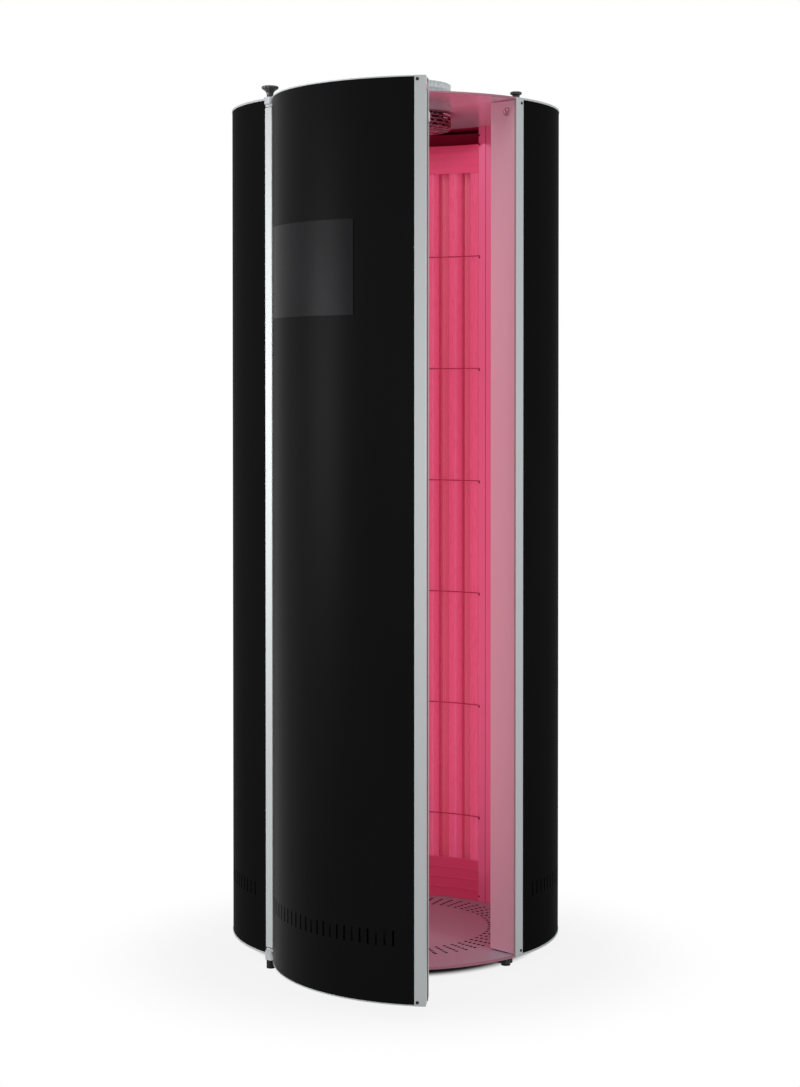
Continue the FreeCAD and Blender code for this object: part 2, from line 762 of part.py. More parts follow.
def hinge_arms():
    """Steel arms that carry the door on its two pins."""
    arms = []
    bore = pin_radius + pin_clearance
    stile_corner = at(door_hinge_angle, door_outer)
    reach = (stile_corner - pivot).Length
    heading = math.degrees(math.atan2(stile_corner.y - pivot.y, stile_corner.x - pivot.x))
    wide = arm_half_width
    for z0, flange_z0, flange_z1 in (
            (low_arm_bottom, low_arm_bottom, low_arm_bottom + arm_flange_height),
            (high_arm_bottom, high_arm_top - arm_flange_height, high_arm_top)):
        eye = tube(0, arm_eye_radius, z0, z0 + arm_thickness, pivot)
        bar = Part.makeBox(reach, wide + 6, arm_thickness, FreeCAD.Vector(0, -wide, 0))
        bar.rotate(axis_origin, up, heading)
        bar.translate(pivot + up * z0)
        flange = block(door_hinge_angle, -1, door_outer - arm_flange_length, door_outer, 0,
                       arm_flange_thickness, flange_z0, flange_z1)
        beyond = block(door_hinge_angle, 1, door_inner, body_radius, 0, 60, z0 - 1, z0 + arm_thickness + 1)
        arm = eye.fuse(bar).fuse(flange).cut(beyond)
        arm = arm.cut(tube(0, bore, z0 - 1, z0 + arm_thickness + 1, pivot))
        arms.append(arm.removeSplitter())
    save("hinge_arms", opened_all(arms))


# ---- door ----
def stile(angle, side, face):
    """A door stile: a deep side wall, a front face and an inner return."""
    z0 = door_bottom
    z1 = door_top
    wall = block(angle, side, door_inner, door_outer, 0, stile_wall, z0, z1)
    front = block(angle, side, door_outer - stile_skin, door_outer, 0, face, z0, z1)
    back = block(angle, side, door_inner, door_inner + 2, 0, stile_return, z0, z1)
    body = wall.fuse(front).fuse(back).removeSplitter()
    corner = [edge for edge in body.Edges if abs(edge.Length - (z1 - z0)) < 0.01
              and abs(math.hypot(edge.CenterOfMass.x, edge.CenterOfMass.y) - door_outer) < 0.01
              and abs(edge.CenterOfMass.x - at(angle, door_outer).x) < 0.01]
    return body.makeFillet(2.0, corner)


def door_frame():
    latch = stile(door_latch_angle, -1, stile_face)
    groove = block(door_latch_angle, -1, seal_radial - seal_width / 2, seal_radial + seal_width / 2,
                   -1, seal_groove, door_bottom - 1, door_top + 1)
    save("door_latch_stile", opened(latch.cut(groove)))
    save("door_hinge_stile", opened(stile(door_hinge_angle, 1, hinge_stile_face)))
    half = seal_width / 2 - seal_gap
    strip = block(door_latch_angle, -1, seal_radial - half, seal_radial + half, -seal_proud, seal_groove,
                  door_bottom + 2, door_top - 2)
    save("door_seal", opened(strip))

    a0 = door_hinge_angle + span(stile_wall + seat_gap, door_inner)
    a1 = door_latch_angle - span(stile_wall + seat_gap, door_inner)
    lip0 = door_hinge_angle + span(hinge_stile_face + seat_gap, door_outer - stile_skin)
    lip1 = door_latch_angle - span(stile_face + seat_gap, door_outer - stile_skin)
    rails = []
    for z0 in (door_bottom, door_top - rail_thickness):
        rail = sector(door_inner + 2 + seat_gap, door_outer - stile_skin - seat_gap, a0, a1, z0,
                      z0 + rail_thickness)
        lip = sector(door_outer - stile_skin - 1, door_outer, lip0, lip1, z0, z0 + rail_thickness)
        rails.append(opened(rail.fuse(lip).removeSplitter()))
    save("door_rails", rails)

    z0 = door_bottom + rail_thickness + seat_gap
    z1 = door_top - rail_thickness - seat_gap
    skin = sector(door_skin_inner, door_outer, lip0, lip1, z0, z1)
    save("door_skin", opened(skin.cut(vents(door_skin_inner, lip0, lip1))))
    front = door_outer + badge_gap
    badge = sector(front, front + badge_thickness, plate_left_angle, plate_right_angle,
                   plate_top - plate_height, plate_top)
    save("badge_plate", opened(badge))


def door_lamps():
    edge = span(stile_return + seat_gap, door_inner)
    a0 = door_hinge_angle + edge
    a1 = door_latch_angle - edge
    z0 = door_bottom + rail_thickness + seat_gap
    z1 = door_top - rail_thickness - seat_gap
    angles = bank_angles(a0, a1, door_lamp_circle, door_lamp_pitch)
    sheet = reflector(angles, a0, a1, door_lamp_circle, door_lamp_pitch, z0, z1)
    save("door_reflector", opened(sheet))
    save("door_lamps", opened_all(lamps(angles, door_lamp_circle)))
    save("door_lampholders", opened_all(holders(angles, door_lamp_circle)))
    save("door_ballasts", opened_all(ballasts(angles, door_lamp_circle)))
    covers = [beaded(door_inner, a0, a1, z0, cover_bottom_top),
              beaded(door_inner, a0, a1, cover_top_bottom, z1)]
    save("door_end_covers", opened_all(covers))
    lap = span(wire_lap, door_inner)
    circle = door_inner - wire_radius - seat_gap
    save("door_guard_wires", opened_all(wires(circle, a0 - lap, a1 + lap)))


# ---- screws and catch ----
def screws_and_catch():
    t = lining_thickness + seat_gap + post_width * 0.72
    heads = []
    for z in (floor_top + screw_end_inset, roof_bottom - screw_end_inset):
        heads.append(facing(latch_plane_angle, 1, body_radius, t, z, screw_radius, screw_proud))
    save("post_screws", heads)

    heads = []
    for z in (door_bottom + screw_end_inset, door_top - screw_end_inset):
        head = facing(door_latch_angle, -1, door_outer, stile_face - 7, z, screw_radius, screw_proud)
        heads.append(opened(head))
    save("door_screws", heads)

    magnet = across(latch_plane_angle, 1, catch_radial, lining_thickness, catch_height, catch_radius,
                    lining_thickness + catch_proud)
    save("catch_magnet", magnet)
    strike = across(door_latch_angle, 1, catch_radial, catch_proud, catch_height, catch_radius, catch_proud)
    save("strike_plate", opened(strike))


base()
floor_and_roof()
posts()
linings()
skins()
corner_covers()
cover_screws()
wall_banks()
exhaust_collar()
fan_guard()
fan()
terminal()
roof_knob()
hinge_blocks()
hinge_arms()
door_frame()
door_lamps()
screws_and_catch()
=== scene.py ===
import bmesh
import bpy
import json
import math
import numpy as np
from mathutils import Matrix, Vector


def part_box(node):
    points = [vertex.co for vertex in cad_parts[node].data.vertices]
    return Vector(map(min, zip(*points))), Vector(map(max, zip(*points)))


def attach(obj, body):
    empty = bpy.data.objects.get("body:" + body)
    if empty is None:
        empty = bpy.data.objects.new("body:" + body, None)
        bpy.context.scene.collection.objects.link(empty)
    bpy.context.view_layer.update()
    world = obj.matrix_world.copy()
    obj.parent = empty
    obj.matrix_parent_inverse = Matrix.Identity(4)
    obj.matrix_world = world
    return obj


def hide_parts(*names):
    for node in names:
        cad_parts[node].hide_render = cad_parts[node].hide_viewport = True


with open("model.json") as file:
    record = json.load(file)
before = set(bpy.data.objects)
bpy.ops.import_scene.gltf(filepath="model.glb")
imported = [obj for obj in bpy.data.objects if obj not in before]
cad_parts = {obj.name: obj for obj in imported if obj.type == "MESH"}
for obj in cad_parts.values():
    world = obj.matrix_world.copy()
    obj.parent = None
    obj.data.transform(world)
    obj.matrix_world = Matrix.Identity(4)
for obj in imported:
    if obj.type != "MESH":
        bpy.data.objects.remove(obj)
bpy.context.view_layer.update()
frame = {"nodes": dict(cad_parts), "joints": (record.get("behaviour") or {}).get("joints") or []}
cadNodes = frame["nodes"]
scene = bpy.context.scene
print("booth: CAD frame loaded,", len(cadNodes), "nodes")


def mm(value):
    return value / 1000.0


# eye height, a little right of the cabin's axis
cameraSettings = {
    "place": (0.0117, -5.7429, 1.4894),
    "pitch": 1.0,           # degrees below level
    "lens": 70.397,
    "sensor": 36.0,
    "shift": -0.1082,
    "farEnd": 60.0,
}


def makeCamera(settings):
    data = bpy.data.cameras.new("boothCamera")
    data.lens = settings["lens"]
    data.sensor_width = settings["sensor"]
    data.shift_y = settings["shift"]
    data.clip_end = settings["farEnd"]
    camera = bpy.data.objects.new("boothCamera", data)
    camera.location = settings["place"]
    camera.rotation_euler = (math.radians(90 - settings["pitch"]), 0, 0)
    scene.collection.objects.link(camera)
    scene.camera = camera


makeCamera(cameraSettings)
scene.view_settings.view_transform = "Standard"

# what the finishes and pieces take from the frame
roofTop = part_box("roof_plate")[1].z
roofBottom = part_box("roof_plate")[0].z
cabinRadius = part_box("roof_edge_trim")[1].x
doorHinge = next(joint for joint in frame["joints"] if joint["name"] == "door_hinge")
hingePoint = doorHinge["pos_m"]
doorOpenAngle = doorHinge["range_deg"][1]      # the door closes when it turns back by this much
hingeSwing = Matrix.Rotation(math.radians(-doorOpenAngle), 3, "Z")
doorCentre = Vector((hingePoint[0], hingePoint[1], 0))
doorCentre = doorCentre + hingeSwing @ (-doorCentre)


def toLinear(hexText):
    # sRGB hex to the linear values that the shader takes
    values = [int(hexText[i:i + 2], 16) / 255 for i in (1, 3, 5)]
    return tuple(v / 12.92 if v <= 0.04045 else ((v + 0.055) / 1.055) ** 2.4 for v in values) + (1.0,)


def addNode(tree, kind, settings=None, links=None):
    # settings go on attributes or input sockets, links name (node, output) pairs
    node = tree.nodes.new(kind)
    for key, value in (settings or {}).items():
        if isinstance(key, str) and hasattr(node, key):
            setattr(node, key, value)
        else:
            node.inputs[key].default_value = value
    for key, (source, output) in (links or {}).items():
        tree.links.new(source.outputs[output], node.inputs[key])
    return node


# what every surface shares
noiseDetail = 3.0
grainShare = 0.3               # of the fine noise in the colour
colourSpread = (0.36, 0.64)    # noise values between which the colour goes from dark to light
glossSpread = (0.3, 0.7)       # and the roughness from its first value to its second
reliefStrength = 0.35
softEdge = 0.6                 # rounded edge in millimetres, where a look gives no other
bevelSamples = 4
colourA, colourB, colourOut = 6, 7, 2       # colour sockets of a Mix node


def makeSurface(name, look):
    # a slow drift of colour, a fine grain in gloss and relief, and softly rounded edges
    material = bpy.data.materials.new(name)
    material.use_nodes = True
    tree = material.node_tree
    shader = tree.nodes["Principled BSDF"]
    for socket, value in look["sockets"].items():
        shader.inputs[socket].default_value = value
    where = addNode(tree, "ShaderNodeTexCoord")
    noises = []
    for pattern in ("drift", "grain"):
        stretched = addNode(tree, "ShaderNodeMapping", {"Scale": look.get(pattern + "Stretch", (1, 1, 1))},
                            {"Vector": (where, "Object")})
        noises.append(addNode(tree, "ShaderNodeTexNoise",
                              {"Scale": 1 / mm(look[pattern]), "Detail": noiseDetail},
                              {"Vector": (stretched, "Vector")}))
    drift, grain = noises
    both = addNode(tree, "ShaderNodeMix", {"data_type": "FLOAT", "Factor": grainShare},
                   {"A": (drift, "Fac"), "B": (grain, "Fac")})
    steps = addNode(tree, "ShaderNodeMapRange", {"From Min": colourSpread[0], "From Max": colourSpread[1]},
                    {"Value": (both, 0)})
    shade = addNode(tree, "ShaderNodeMix", {"data_type": "RGBA", colourA: toLinear(look["dark"]),
                                            colourB: toLinear(look["light"])}, {0: (steps, "Result")})
    tree.links.new(shade.outputs[colourOut], shader.inputs["Base Color"])
    gloss = addNode(tree, "ShaderNodeMapRange",
                    {"From Min": glossSpread[0], "From Max": glossSpread[1], "To Min": look["rough"][0],
                     "To Max": look["rough"][1]}, {"Value": (grain, "Fac")})
    tree.links.new(gloss.outputs["Result"], shader.inputs["Roughness"])
    edge = addNode(tree, "ShaderNodeBevel",
                   {"samples": bevelSamples, "Radius": mm(look.get("edge", softEdge))})
    relief = addNode(tree, "ShaderNodeBump", {"Distance": mm(look["relief"]), "Strength": reliefStrength},
                     {"Height": (grain, "Fac"), "Normal": (edge, "Normal")})
    tree.links.new(relief.outputs["Normal"], shader.inputs["Normal"])
    return material, tree, shader, shade


# clear top coat of the rose enamels
roseCoat = {"IOR": 1.5, "Coat Weight": 0.1, "Coat Roughness": 0.12}

# paints: a skin that flowed out in the oven, so soft gloss and a fine orange peel
# metals: lines of drawing or rolling along the part, and a gloss that follows them
# plastics and rubber: the matt print of a spark-eroded mould, worn smooth at the edges
looks = {
    # polyester powder on sheet steel, cured: deep black, the cabin's skins flat, the door's with a low sheen
    "flatPowderCoat": {
        "dark": "#121213", "light": "#161617", "drift": 420, "driftStretch": (1, 1, 0.35), "grain": 2.2,
        "relief": 0.05, "rough": (0.4, 0.5), "sockets": {"IOR": 1.5, "Specular IOR Level": 0.001}},
    "blackPowderCoat": {
        "dark": "#101011", "light": "#141415", "drift": 420, "driftStretch": (1, 1, 0.35), "grain": 2.2,
        "relief": 0.05, "rough": (0.34, 0.42), "sockets": {"IOR": 1.5, "Specular IOR Level": 0.015}},
    # extruded section, etched and anodised: flat silver grey, faint lines along its length
    "satinAnodisedAluminium": {
        "dark": "#b3b7b8", "light": "#bcc0c1", "drift": 900, "driftStretch": (1, 1, 0.2), "grain": 1.4,
        "grainStretch": (1, 1, 0.012), "relief": 0.02, "rough": (0.42, 0.5), "sockets": {"Metallic": 0.35}},
    # sheet anodised black, brushed crosswise: a soft dark grey
    "blackAnodisedAluminium": {
        "dark": "#121214", "light": "#18181a", "drift": 200, "grain": 1.1, "grainStretch": (0.03, 0.03, 1),
        "relief": 0.02, "rough": (0.34, 0.42), "sockets": {"Metallic": 0.1, "Specular IOR Level": 0.04}},
    # box tube, stoved black: duller than the skins
    "blackStoveEnamel": {
        "dark": "#0d0d0e", "light": "#151516", "drift": 120, "grain": 1.6, "relief": 0.05,
        "rough": (0.4, 0.5), "sockets": {"IOR": 1.5, "Specular IOR Level": 0.3}},
    # glass-filled nylon, moulded: near black with a dull sheen
    "mouldedNylon": {
        "dark": "#0f0f10", "light": "#171717", "drift": 60, "grain": 0.9, "relief": 0.05,
        "rough": (0.42, 0.55), "sockets": {"IOR": 1.53, "Specular IOR Level": 0.35}},
    # rubber, moulded: matt, and greyer than the nylon
    "mouldedRubber": {
        "dark": "#131313", "light": "#1d1d1d", "drift": 40, "grain": 0.8, "relief": 0.06,
        "rough": (0.7, 0.85), "sockets": {"IOR": 1.52, "Specular IOR Level": 0.3}},
    # phenolic hand knobs, pressed hot: smooth and nearly glossy
    "pressedPhenolic": {
        "dark": "#0e0d0e", "light": "#161416", "drift": 30, "grain": 0.7, "relief": 0.02,
        "rough": (0.22, 0.32), "edge": 0.8, "sockets": {"IOR": 1.6, "Specular IOR Level": 0.4}},
    # floor sheet, stove enamelled grey: satin, it takes its rose from the lamps
    "floorEnamel": {
        "dark": "#98949e", "light": "#a09ca6", "drift": 240, "grain": 1.8, "relief": 0.04,
        "rough": (0.28, 0.38), "sockets": {"IOR": 1.5, "Coat Weight": 0.15, "Coat Roughness": 0.12}},
    # roof sheet, stove enamelled pale grey: glossier than the floor, it takes its rose from the walls
    "ceilingEnamel": {
        "dark": "#c4ced6", "light": "#ccd5dc", "drift": 300, "grain": 1.8, "relief": 0.03,
        "rough": (0.2, 0.28), "sockets": {"IOR": 1.5, "Coat Weight": 0.5, "Coat Roughness": 0.12}},
    # doorway linings, stove enamelled the palest rose: satin
    "liningEnamel": {
        "dark": "#f3cedd", "light": "#f7d5e3", "drift": 300, "driftStretch": (1, 1, 0.3), "grain": 1.8,
        "relief": 0.03, "rough": (0.36, 0.44), "sockets": {"IOR": 1.5}},
    # corner covers, stove enamelled rose: a little glossier than the linings
    "coverEnamel": {
        "dark": "#ee80aa", "light": "#f388b1", "drift": 220, "driftStretch": (1, 1, 0.3), "grain": 1.8,
        "relief": 0.03, "rough": (0.3, 0.38), "sockets": roseCoat},
    # the lamp-end covers are stoved a deeper rose than the corners
    "endCoverEnamel": {
        "dark": "#ea5c8a", "light": "#ef6491", "drift": 220, "driftStretch": (1, 1, 0.3), "grain": 1.8,
        "relief": 0.03, "rough": (0.3, 0.38), "sockets": roseCoat},
    # bright rolled sheet with a rose lacquer: mirrors the tubes as soft upright bands
    "lacqueredReflectorSheet": {
        "dark": "#f4a2ba", "light": "#f8aec4", "drift": 160, "driftStretch": (1, 1, 0.2), "grain": 1.2,
        "grainStretch": (1, 1, 0.02), "relief": 0.01, "rough": (0.2, 0.28), "sockets": {"Metallic": 0.3}},
    # glass tube, phosphor washed down inside: milky rose under a clear smooth wall
    "lampPhosphorGlass": {
        "dark": "#bc4c6d", "light": "#c65876", "drift": 70, "driftStretch": (1, 1, 0.1), "grain": 5,
        "grainStretch": (1, 1, 0.1), "relief": 0.0, "rough": (0.24, 0.34), "edge": 1.5,
        "sockets": {"IOR": 1.5, "Coat Weight": 0.5, "Coat Roughness": 0.08,
                    "Emission Color": toLinear("#ff6796"), "Emission Strength": 0.28}},
    # hot-dip zinc on rolled sheet: pale grey with soft patches
    "hotDipZincSheet": {
        "dark": "#a4a8aa", "light": "#c2c6c8", "drift": 11, "grain": 2.4, "relief": 0.03,
        "rough": (0.34, 0.46), "sockets": {"Metallic": 0.7}},
    # rolled spring steel under a clear lacquer, coloured near white with little metal: a painted glint
    "glintWhiteSpringSteel": {
        "dark": "#f9eef1", "light": "#fff6f8", "drift": 30, "grain": 0.8, "relief": 0.01,
        "rough": (0.14, 0.2), "edge": 0.4, "sockets": {"Metallic": 0.05, "Coat Weight": 0.6}},
    # drawn steel wire under a rose lacquer: dark, with bright points of light
    "lacqueredWire": {
        "dark": "#8c5f6c", "light": "#a3737f", "drift": 30, "grain": 1.0, "relief": 0.01,
        "rough": (0.16, 0.24), "edge": 0.3, "sockets": {"Metallic": 0.45}},
    # the lamp guards: the same lacquer in a stronger rose
    "roseWire": {
        "dark": "#b03a62", "light": "#c04a72", "drift": 30, "grain": 1.0, "relief": 0.01,
        "rough": (0.24, 0.32), "edge": 0.3, "sockets": {"Metallic": 0.3}},
    # needled polyester fleece, dark, matt and fibrous: the skins' top seals, and inside the fan basket a dark
    # sheet that is painted shade
    "darkFleeceAndShade": {
        "dark": "#260b14", "light": "#38131f", "drift": 9, "grain": 1.2, "relief": 0.25,
        "rough": (0.85, 0.95), "sockets": {"Specular IOR Level": 0.1, "Sheen Weight": 0.2}},
    # opal polycarbonate, moulded: milky and smooth
    "mouldedPolycarbonate": {
        "dark": "#dccfcf", "light": "#e8dddd", "drift": 40, "grain": 0.9, "relief": 0.02,
        "rough": (0.22, 0.3), "sockets": {"IOR": 1.585}},
    # ballasts and terminal box, stoved light grey: satin
    "greyStoveEnamel": {
        "dark": "#b5b8b9", "light": "#c1c4c5", "drift": 90, "grain": 1.6, "relief": 0.04,
        "rough": (0.34, 0.44), "sockets": {"IOR": 1.5}},
    # turned and plated steel: fine lines round the part
    "platedSteel": {
        "dark": "#aaaeb0", "light": "#bbbfc1", "drift": 40, "grain": 0.8, "grainStretch": (1, 1, 4),
        "relief": 0.01, "rough": (0.28, 0.38), "edge": 0.8, "sockets": {"Metallic": 0.75}},
    # catch and strike plate, plated under a rose lacquer: a soft pale gleam
    "roseCatchSteel": {
        "dark": "#cf9fb0", "light": "#d8a9b9", "drift": 30, "grain": 0.8, "relief": 0.01,
        "rough": (0.34, 0.42), "sockets": {"Metallic": 0.4}},
    # turned steel, oiled black oxide: dark with small glints
    "blackOxideSteel": {
        "dark": "#101011", "light": "#1b1b1c", "drift": 12, "grain": 0.6, "relief": 0.02,
        "rough": (0.3, 0.42), "edge": 0.3, "sockets": {"Metallic": 0.5}},
    # the covers' screws, lacquered dark rose: small dull points
    "roseScrewSteel": {
        "dark": "#5a1730", "light": "#74213f", "drift": 12, "grain": 0.6, "relief": 0.02,
        "rough": (0.34, 0.44), "edge": 0.3, "sockets": {"Metallic": 0.3}},
    # seal strip, moulded rubber: dull dark grey
    "mouldedSealRubber": {
        "dark": "#3a3b3b", "light": "#474848", "drift": 60, "driftStretch": (1, 1, 0.1), "grain": 0.9,
        "relief": 0.04, "rough": (0.62, 0.75), "sockets": {"IOR": 1.52, "Specular IOR Level": 0.3}},
}


cabinAxis = (0, 0, 0)
wallFace = mm(353.5)       # inside face of the wall
skinFace = mm(437.6)       # inside face of the skins
liningEdge = mm(402)       # the hinge lining is enamelled up to here
doorwayHalf = 44.4         # degrees either side of the front
ceilingPast = 4.5          # degrees by which the ceiling's enamel runs on past the doorway
coverFold = 134.1          # fold of a corner cover, degrees from the front
foldHalf = 0.0032          # half width of the dark line in it, in radians
squarely = 0.5             # how far a face has to turn towards a direction to count as facing it
steepFold = 0.06           # the same where steep folds count too
enamelRose = "#a06a7a"
# near-black primer inside the door and in the floor's holes: partly painted shade
primerAndShadeDark = "#171214"
# rose on hidden faces behind the wall and the skins: partly primer, partly painted light for the pink lamp
# light that reaches them
primerAndLampLightRose = "#ca3f6c"
# painted shade: the dark line in a corner cover's fold
foldShadeRose = "#a8305a"
# near black for the bare backs of sheets: painted shade
bareBackShadeDark = "#2a2a2c"
roofSilver = "#a9adaf"
edgeSilver = "#b3b7b8"
finishes = {}


def recolour(surface, mask, hexText):
    # the masked area takes another colour
    material, tree, shader, shade = surface
    other = addNode(tree, "ShaderNodeMix", {"data_type": "RGBA", colourB: toLinear(hexText)},
                    {0: mask, colourA: (shade, colourOut)})
    tree.links.new(other.outputs[colourOut], shader.inputs["Base Color"])
    return material, tree, shader, other


def flatPlace(tree, centre):
    # where a point lies from an upright axis, without its height, and its direction from there
    where = addNode(tree, "ShaderNodeTexCoord")
    away = addNode(tree, "ShaderNodeVectorMath", {"operation": "SUBTRACT", 1: tuple(centre)},
                   {0: (where, "Object")})
    flat = addNode(tree, "ShaderNodeVectorMath", {"operation": "MULTIPLY", 1: (1, 1, 0)},
                   {0: (away, "Vector")})
    aim = addNode(tree, "ShaderNodeVectorMath", {"operation": "NORMALIZE"}, {0: (flat, "Vector")})
    return flat, aim


def facesFrom(tree, centre, sign, limit=squarely):
    # the side of a sheet that faces away from an upright axis (1) or towards it (-1)
    aim = flatPlace(tree, centre)[1]
    where = addNode(tree, "ShaderNodeTexCoord")
    lean = addNode(tree, "ShaderNodeVectorMath", {"operation": "DOT_PRODUCT"},
                   {0: (aim, "Vector"), 1: (where, "Normal")})
    signed = addNode(tree, "ShaderNodeMath", {"operation": "MULTIPLY", 1: sign}, {0: (lean, "Value")})
    return addNode(tree, "ShaderNodeMath", {"operation": "GREATER_THAN", 1: limit},
                   {0: (signed, "Value")}), "Value"


def facesUp(tree):
    where = addNode(tree, "ShaderNodeTexCoord")
    lean = addNode(tree, "ShaderNodeVectorMath", {"operation": "DOT_PRODUCT", 1: (0, 0, 1)},
                   {0: (where, "Normal")})
    return addNode(tree, "ShaderNodeMath", {"operation": "GREATER_THAN", 1: squarely},
                   {0: (lean, "Value")}), "Value"


def reaches(tree, centre, radius, inside=False):
    # what lies further from an upright axis than a radius, or nearer
    flat = flatPlace(tree, centre)[0]
    reach = addNode(tree, "ShaderNodeVectorMath", {"operation": "LENGTH"}, {0: (flat, "Vector")})
    side = "LESS_THAN" if inside else "GREATER_THAN"
    return addNode(tree, "ShaderNodeMath", {"operation": side, 1: radius}, {0: (reach, "Value")}), "Value"


def inDoorway(tree, halfAngle):
    # the sector of the booth that spans the doorway
    aim = flatPlace(tree, cabinAxis)[1]
    lean = addNode(tree, "ShaderNodeVectorMath", {"operation": "DOT_PRODUCT", 1: (0, -1, 0)},
                   {0: (aim, "Vector")})
    least = math.cos(math.radians(halfAngle))
    return addNode(tree, "ShaderNodeMath", {"operation": "GREATER_THAN", 1: least},
                   {0: (lean, "Value")}), "Value"


def skinFinish(name, look, centre, inside):
    # the inside of the skins in another colour: near-black primer on the door that is partly painted shade,
    # rose primer on the cabin that is partly painted pink lamp light
    surface = makeSurface(name, looks[look])
    return recolour(surface, facesFrom(surface[1], centre, -1.0), inside)


def backedFinish(name, look, centre):
    # near black on the back of a sheet, also on the backs of its steep folds: bare metal, darkened as painted
    # shade
    surface = makeSurface(name, looks[look])
    return recolour(surface, facesFrom(surface[1], centre, 1.0, steepFold), bareBackShadeDark)


def floorFinish():
    # enamel on top only: the holes' walls and the underside are near-black primer, partly painted shade
    surface = makeSurface("floorEnamel", looks["floorEnamel"])
    tree, shader, shade = surface[1:]
    bare = addNode(tree, "ShaderNodeMix", {"data_type": "RGBA", colourA: toLinear(primerAndShadeDark)},
                   {0: facesUp(tree), colourB: (shade, colourOut)})
    tree.links.new(bare.outputs[colourOut], shader.inputs["Base Color"])
    return surface


def roofFinish():
    # outside of the roof in silver grey, rose where it runs behind the wall (primer, partly painted pink lamp
    # light), enamel over the doorway
    material, tree, shader, enamel = makeSurface("ceilingEnamel", looks["ceilingEnamel"])
    behindWall = addNode(tree, "ShaderNodeMix", {"data_type": "RGBA", colourB: toLinear(primerAndLampLightRose)},
                         {0: reaches(tree, cabinAxis, wallFace), colourA: (enamel, colourOut)})
    doorway = addNode(tree, "ShaderNodeMix", {"data_type": "RGBA"},
                      {0: inDoorway(tree, doorwayHalf + ceilingPast), colourA: (behindWall, colourOut),
                       colourB: (enamel, colourOut)})
    return recolour((material, tree, shader, doorway), facesUp(tree), roofSilver)


def edgeTrimFinish():
    # rose behind the skins (primer, partly painted pink lamp light), and the rose enamel goes round the edge
    # across the doorway
    surface = makeSurface("edgeTrimAluminium", looks["satinAnodisedAluminium"])
    tree = surface[1]
    hidden = addNode(tree, "ShaderNodeMath", {"operation": "SUBTRACT", "use_clamp": True},
                     {0: reaches(tree, cabinAxis, skinFace, inside=True), 1: facesUp(tree)})
    surface = recolour(surface, (hidden, "Value"), primerAndLampLightRose)
    return recolour(surface, inDoorway(tree, doorwayHalf), enamelRose)


def cornerFinish():
    # a corner cover lies in two panels, with a dark line painted along the fold between them: painted shade
    # in the crease
    surface = makeSurface("cornerEnamel", looks["coverEnamel"])
    tree = surface[1]
    aim = flatPlace(tree, cabinAxis)[1]
    both = addNode(tree, "ShaderNodeVectorMath", {"operation": "ABSOLUTE"}, {0: (aim, "Vector")})
    fold = math.radians(coverFold)
    across = (abs(math.cos(fold)), -math.sin(fold), 0)
    lean = addNode(tree, "ShaderNodeVectorMath", {"operation": "DOT_PRODUCT", 1: across},
                   {0: (both, "Vector")})
    near = addNode(tree, "ShaderNodeMath", {"operation": "COMPARE", 1: 0.0, 2: foldHalf},
                   {0: (lean, "Value")})
    return recolour(surface, (near, "Value"), foldShadeRose)


def hingeLiningFinish():
    # the lining's outer edge is left in silver beside the hinge
    surface = makeSurface("hingeLiningEnamel", looks["liningEnamel"])
    return recolour(surface, reaches(surface[1], cabinAxis, liningEdge), edgeSilver)


# looks that are only worn with a mask over them
maskedLooks = ("flatPowderCoat", "blackPowderCoat", "lacqueredReflectorSheet", "ceilingEnamel", "floorEnamel",
               "coverEnamel", "endCoverEnamel")
for name in looks:
    if name not in maskedLooks:
        finishes[name] = makeSurface(name, looks[name])[0]
# the cabin's skins are rose inside: primer, partly painted pink lamp light
finishes["cabinPowderCoat"] = skinFinish("cabinPowderCoat", "flatPowderCoat", cabinAxis, primerAndLampLightRose)[0]
# the door's skin is near black inside: primer, partly painted shade behind the vents
finishes["doorPowderCoat"] = skinFinish("doorPowderCoat", "blackPowderCoat", doorCentre, primerAndShadeDark)[0]
finishes["cornerEnamel"] = cornerFinish()[0]
for owner, centre in (("cabin", cabinAxis), ("door", doorCentre)):
    for part, look in (("ReflectorSheet", "lacqueredReflectorSheet"), ("CoverEnamel", "endCoverEnamel")):
        finishes[owner + part] = backedFinish(owner + part, look, centre)[0]
finishes["ceilingEnamel"] = roofFinish()[0]
finishes["floorEnamel"] = floorFinish()[0]
finishes["edgeTrimAluminium"] = edgeTrimFinish()[0]
finishes["hingeLiningEnamel"] = hingeLiningFinish()[0]

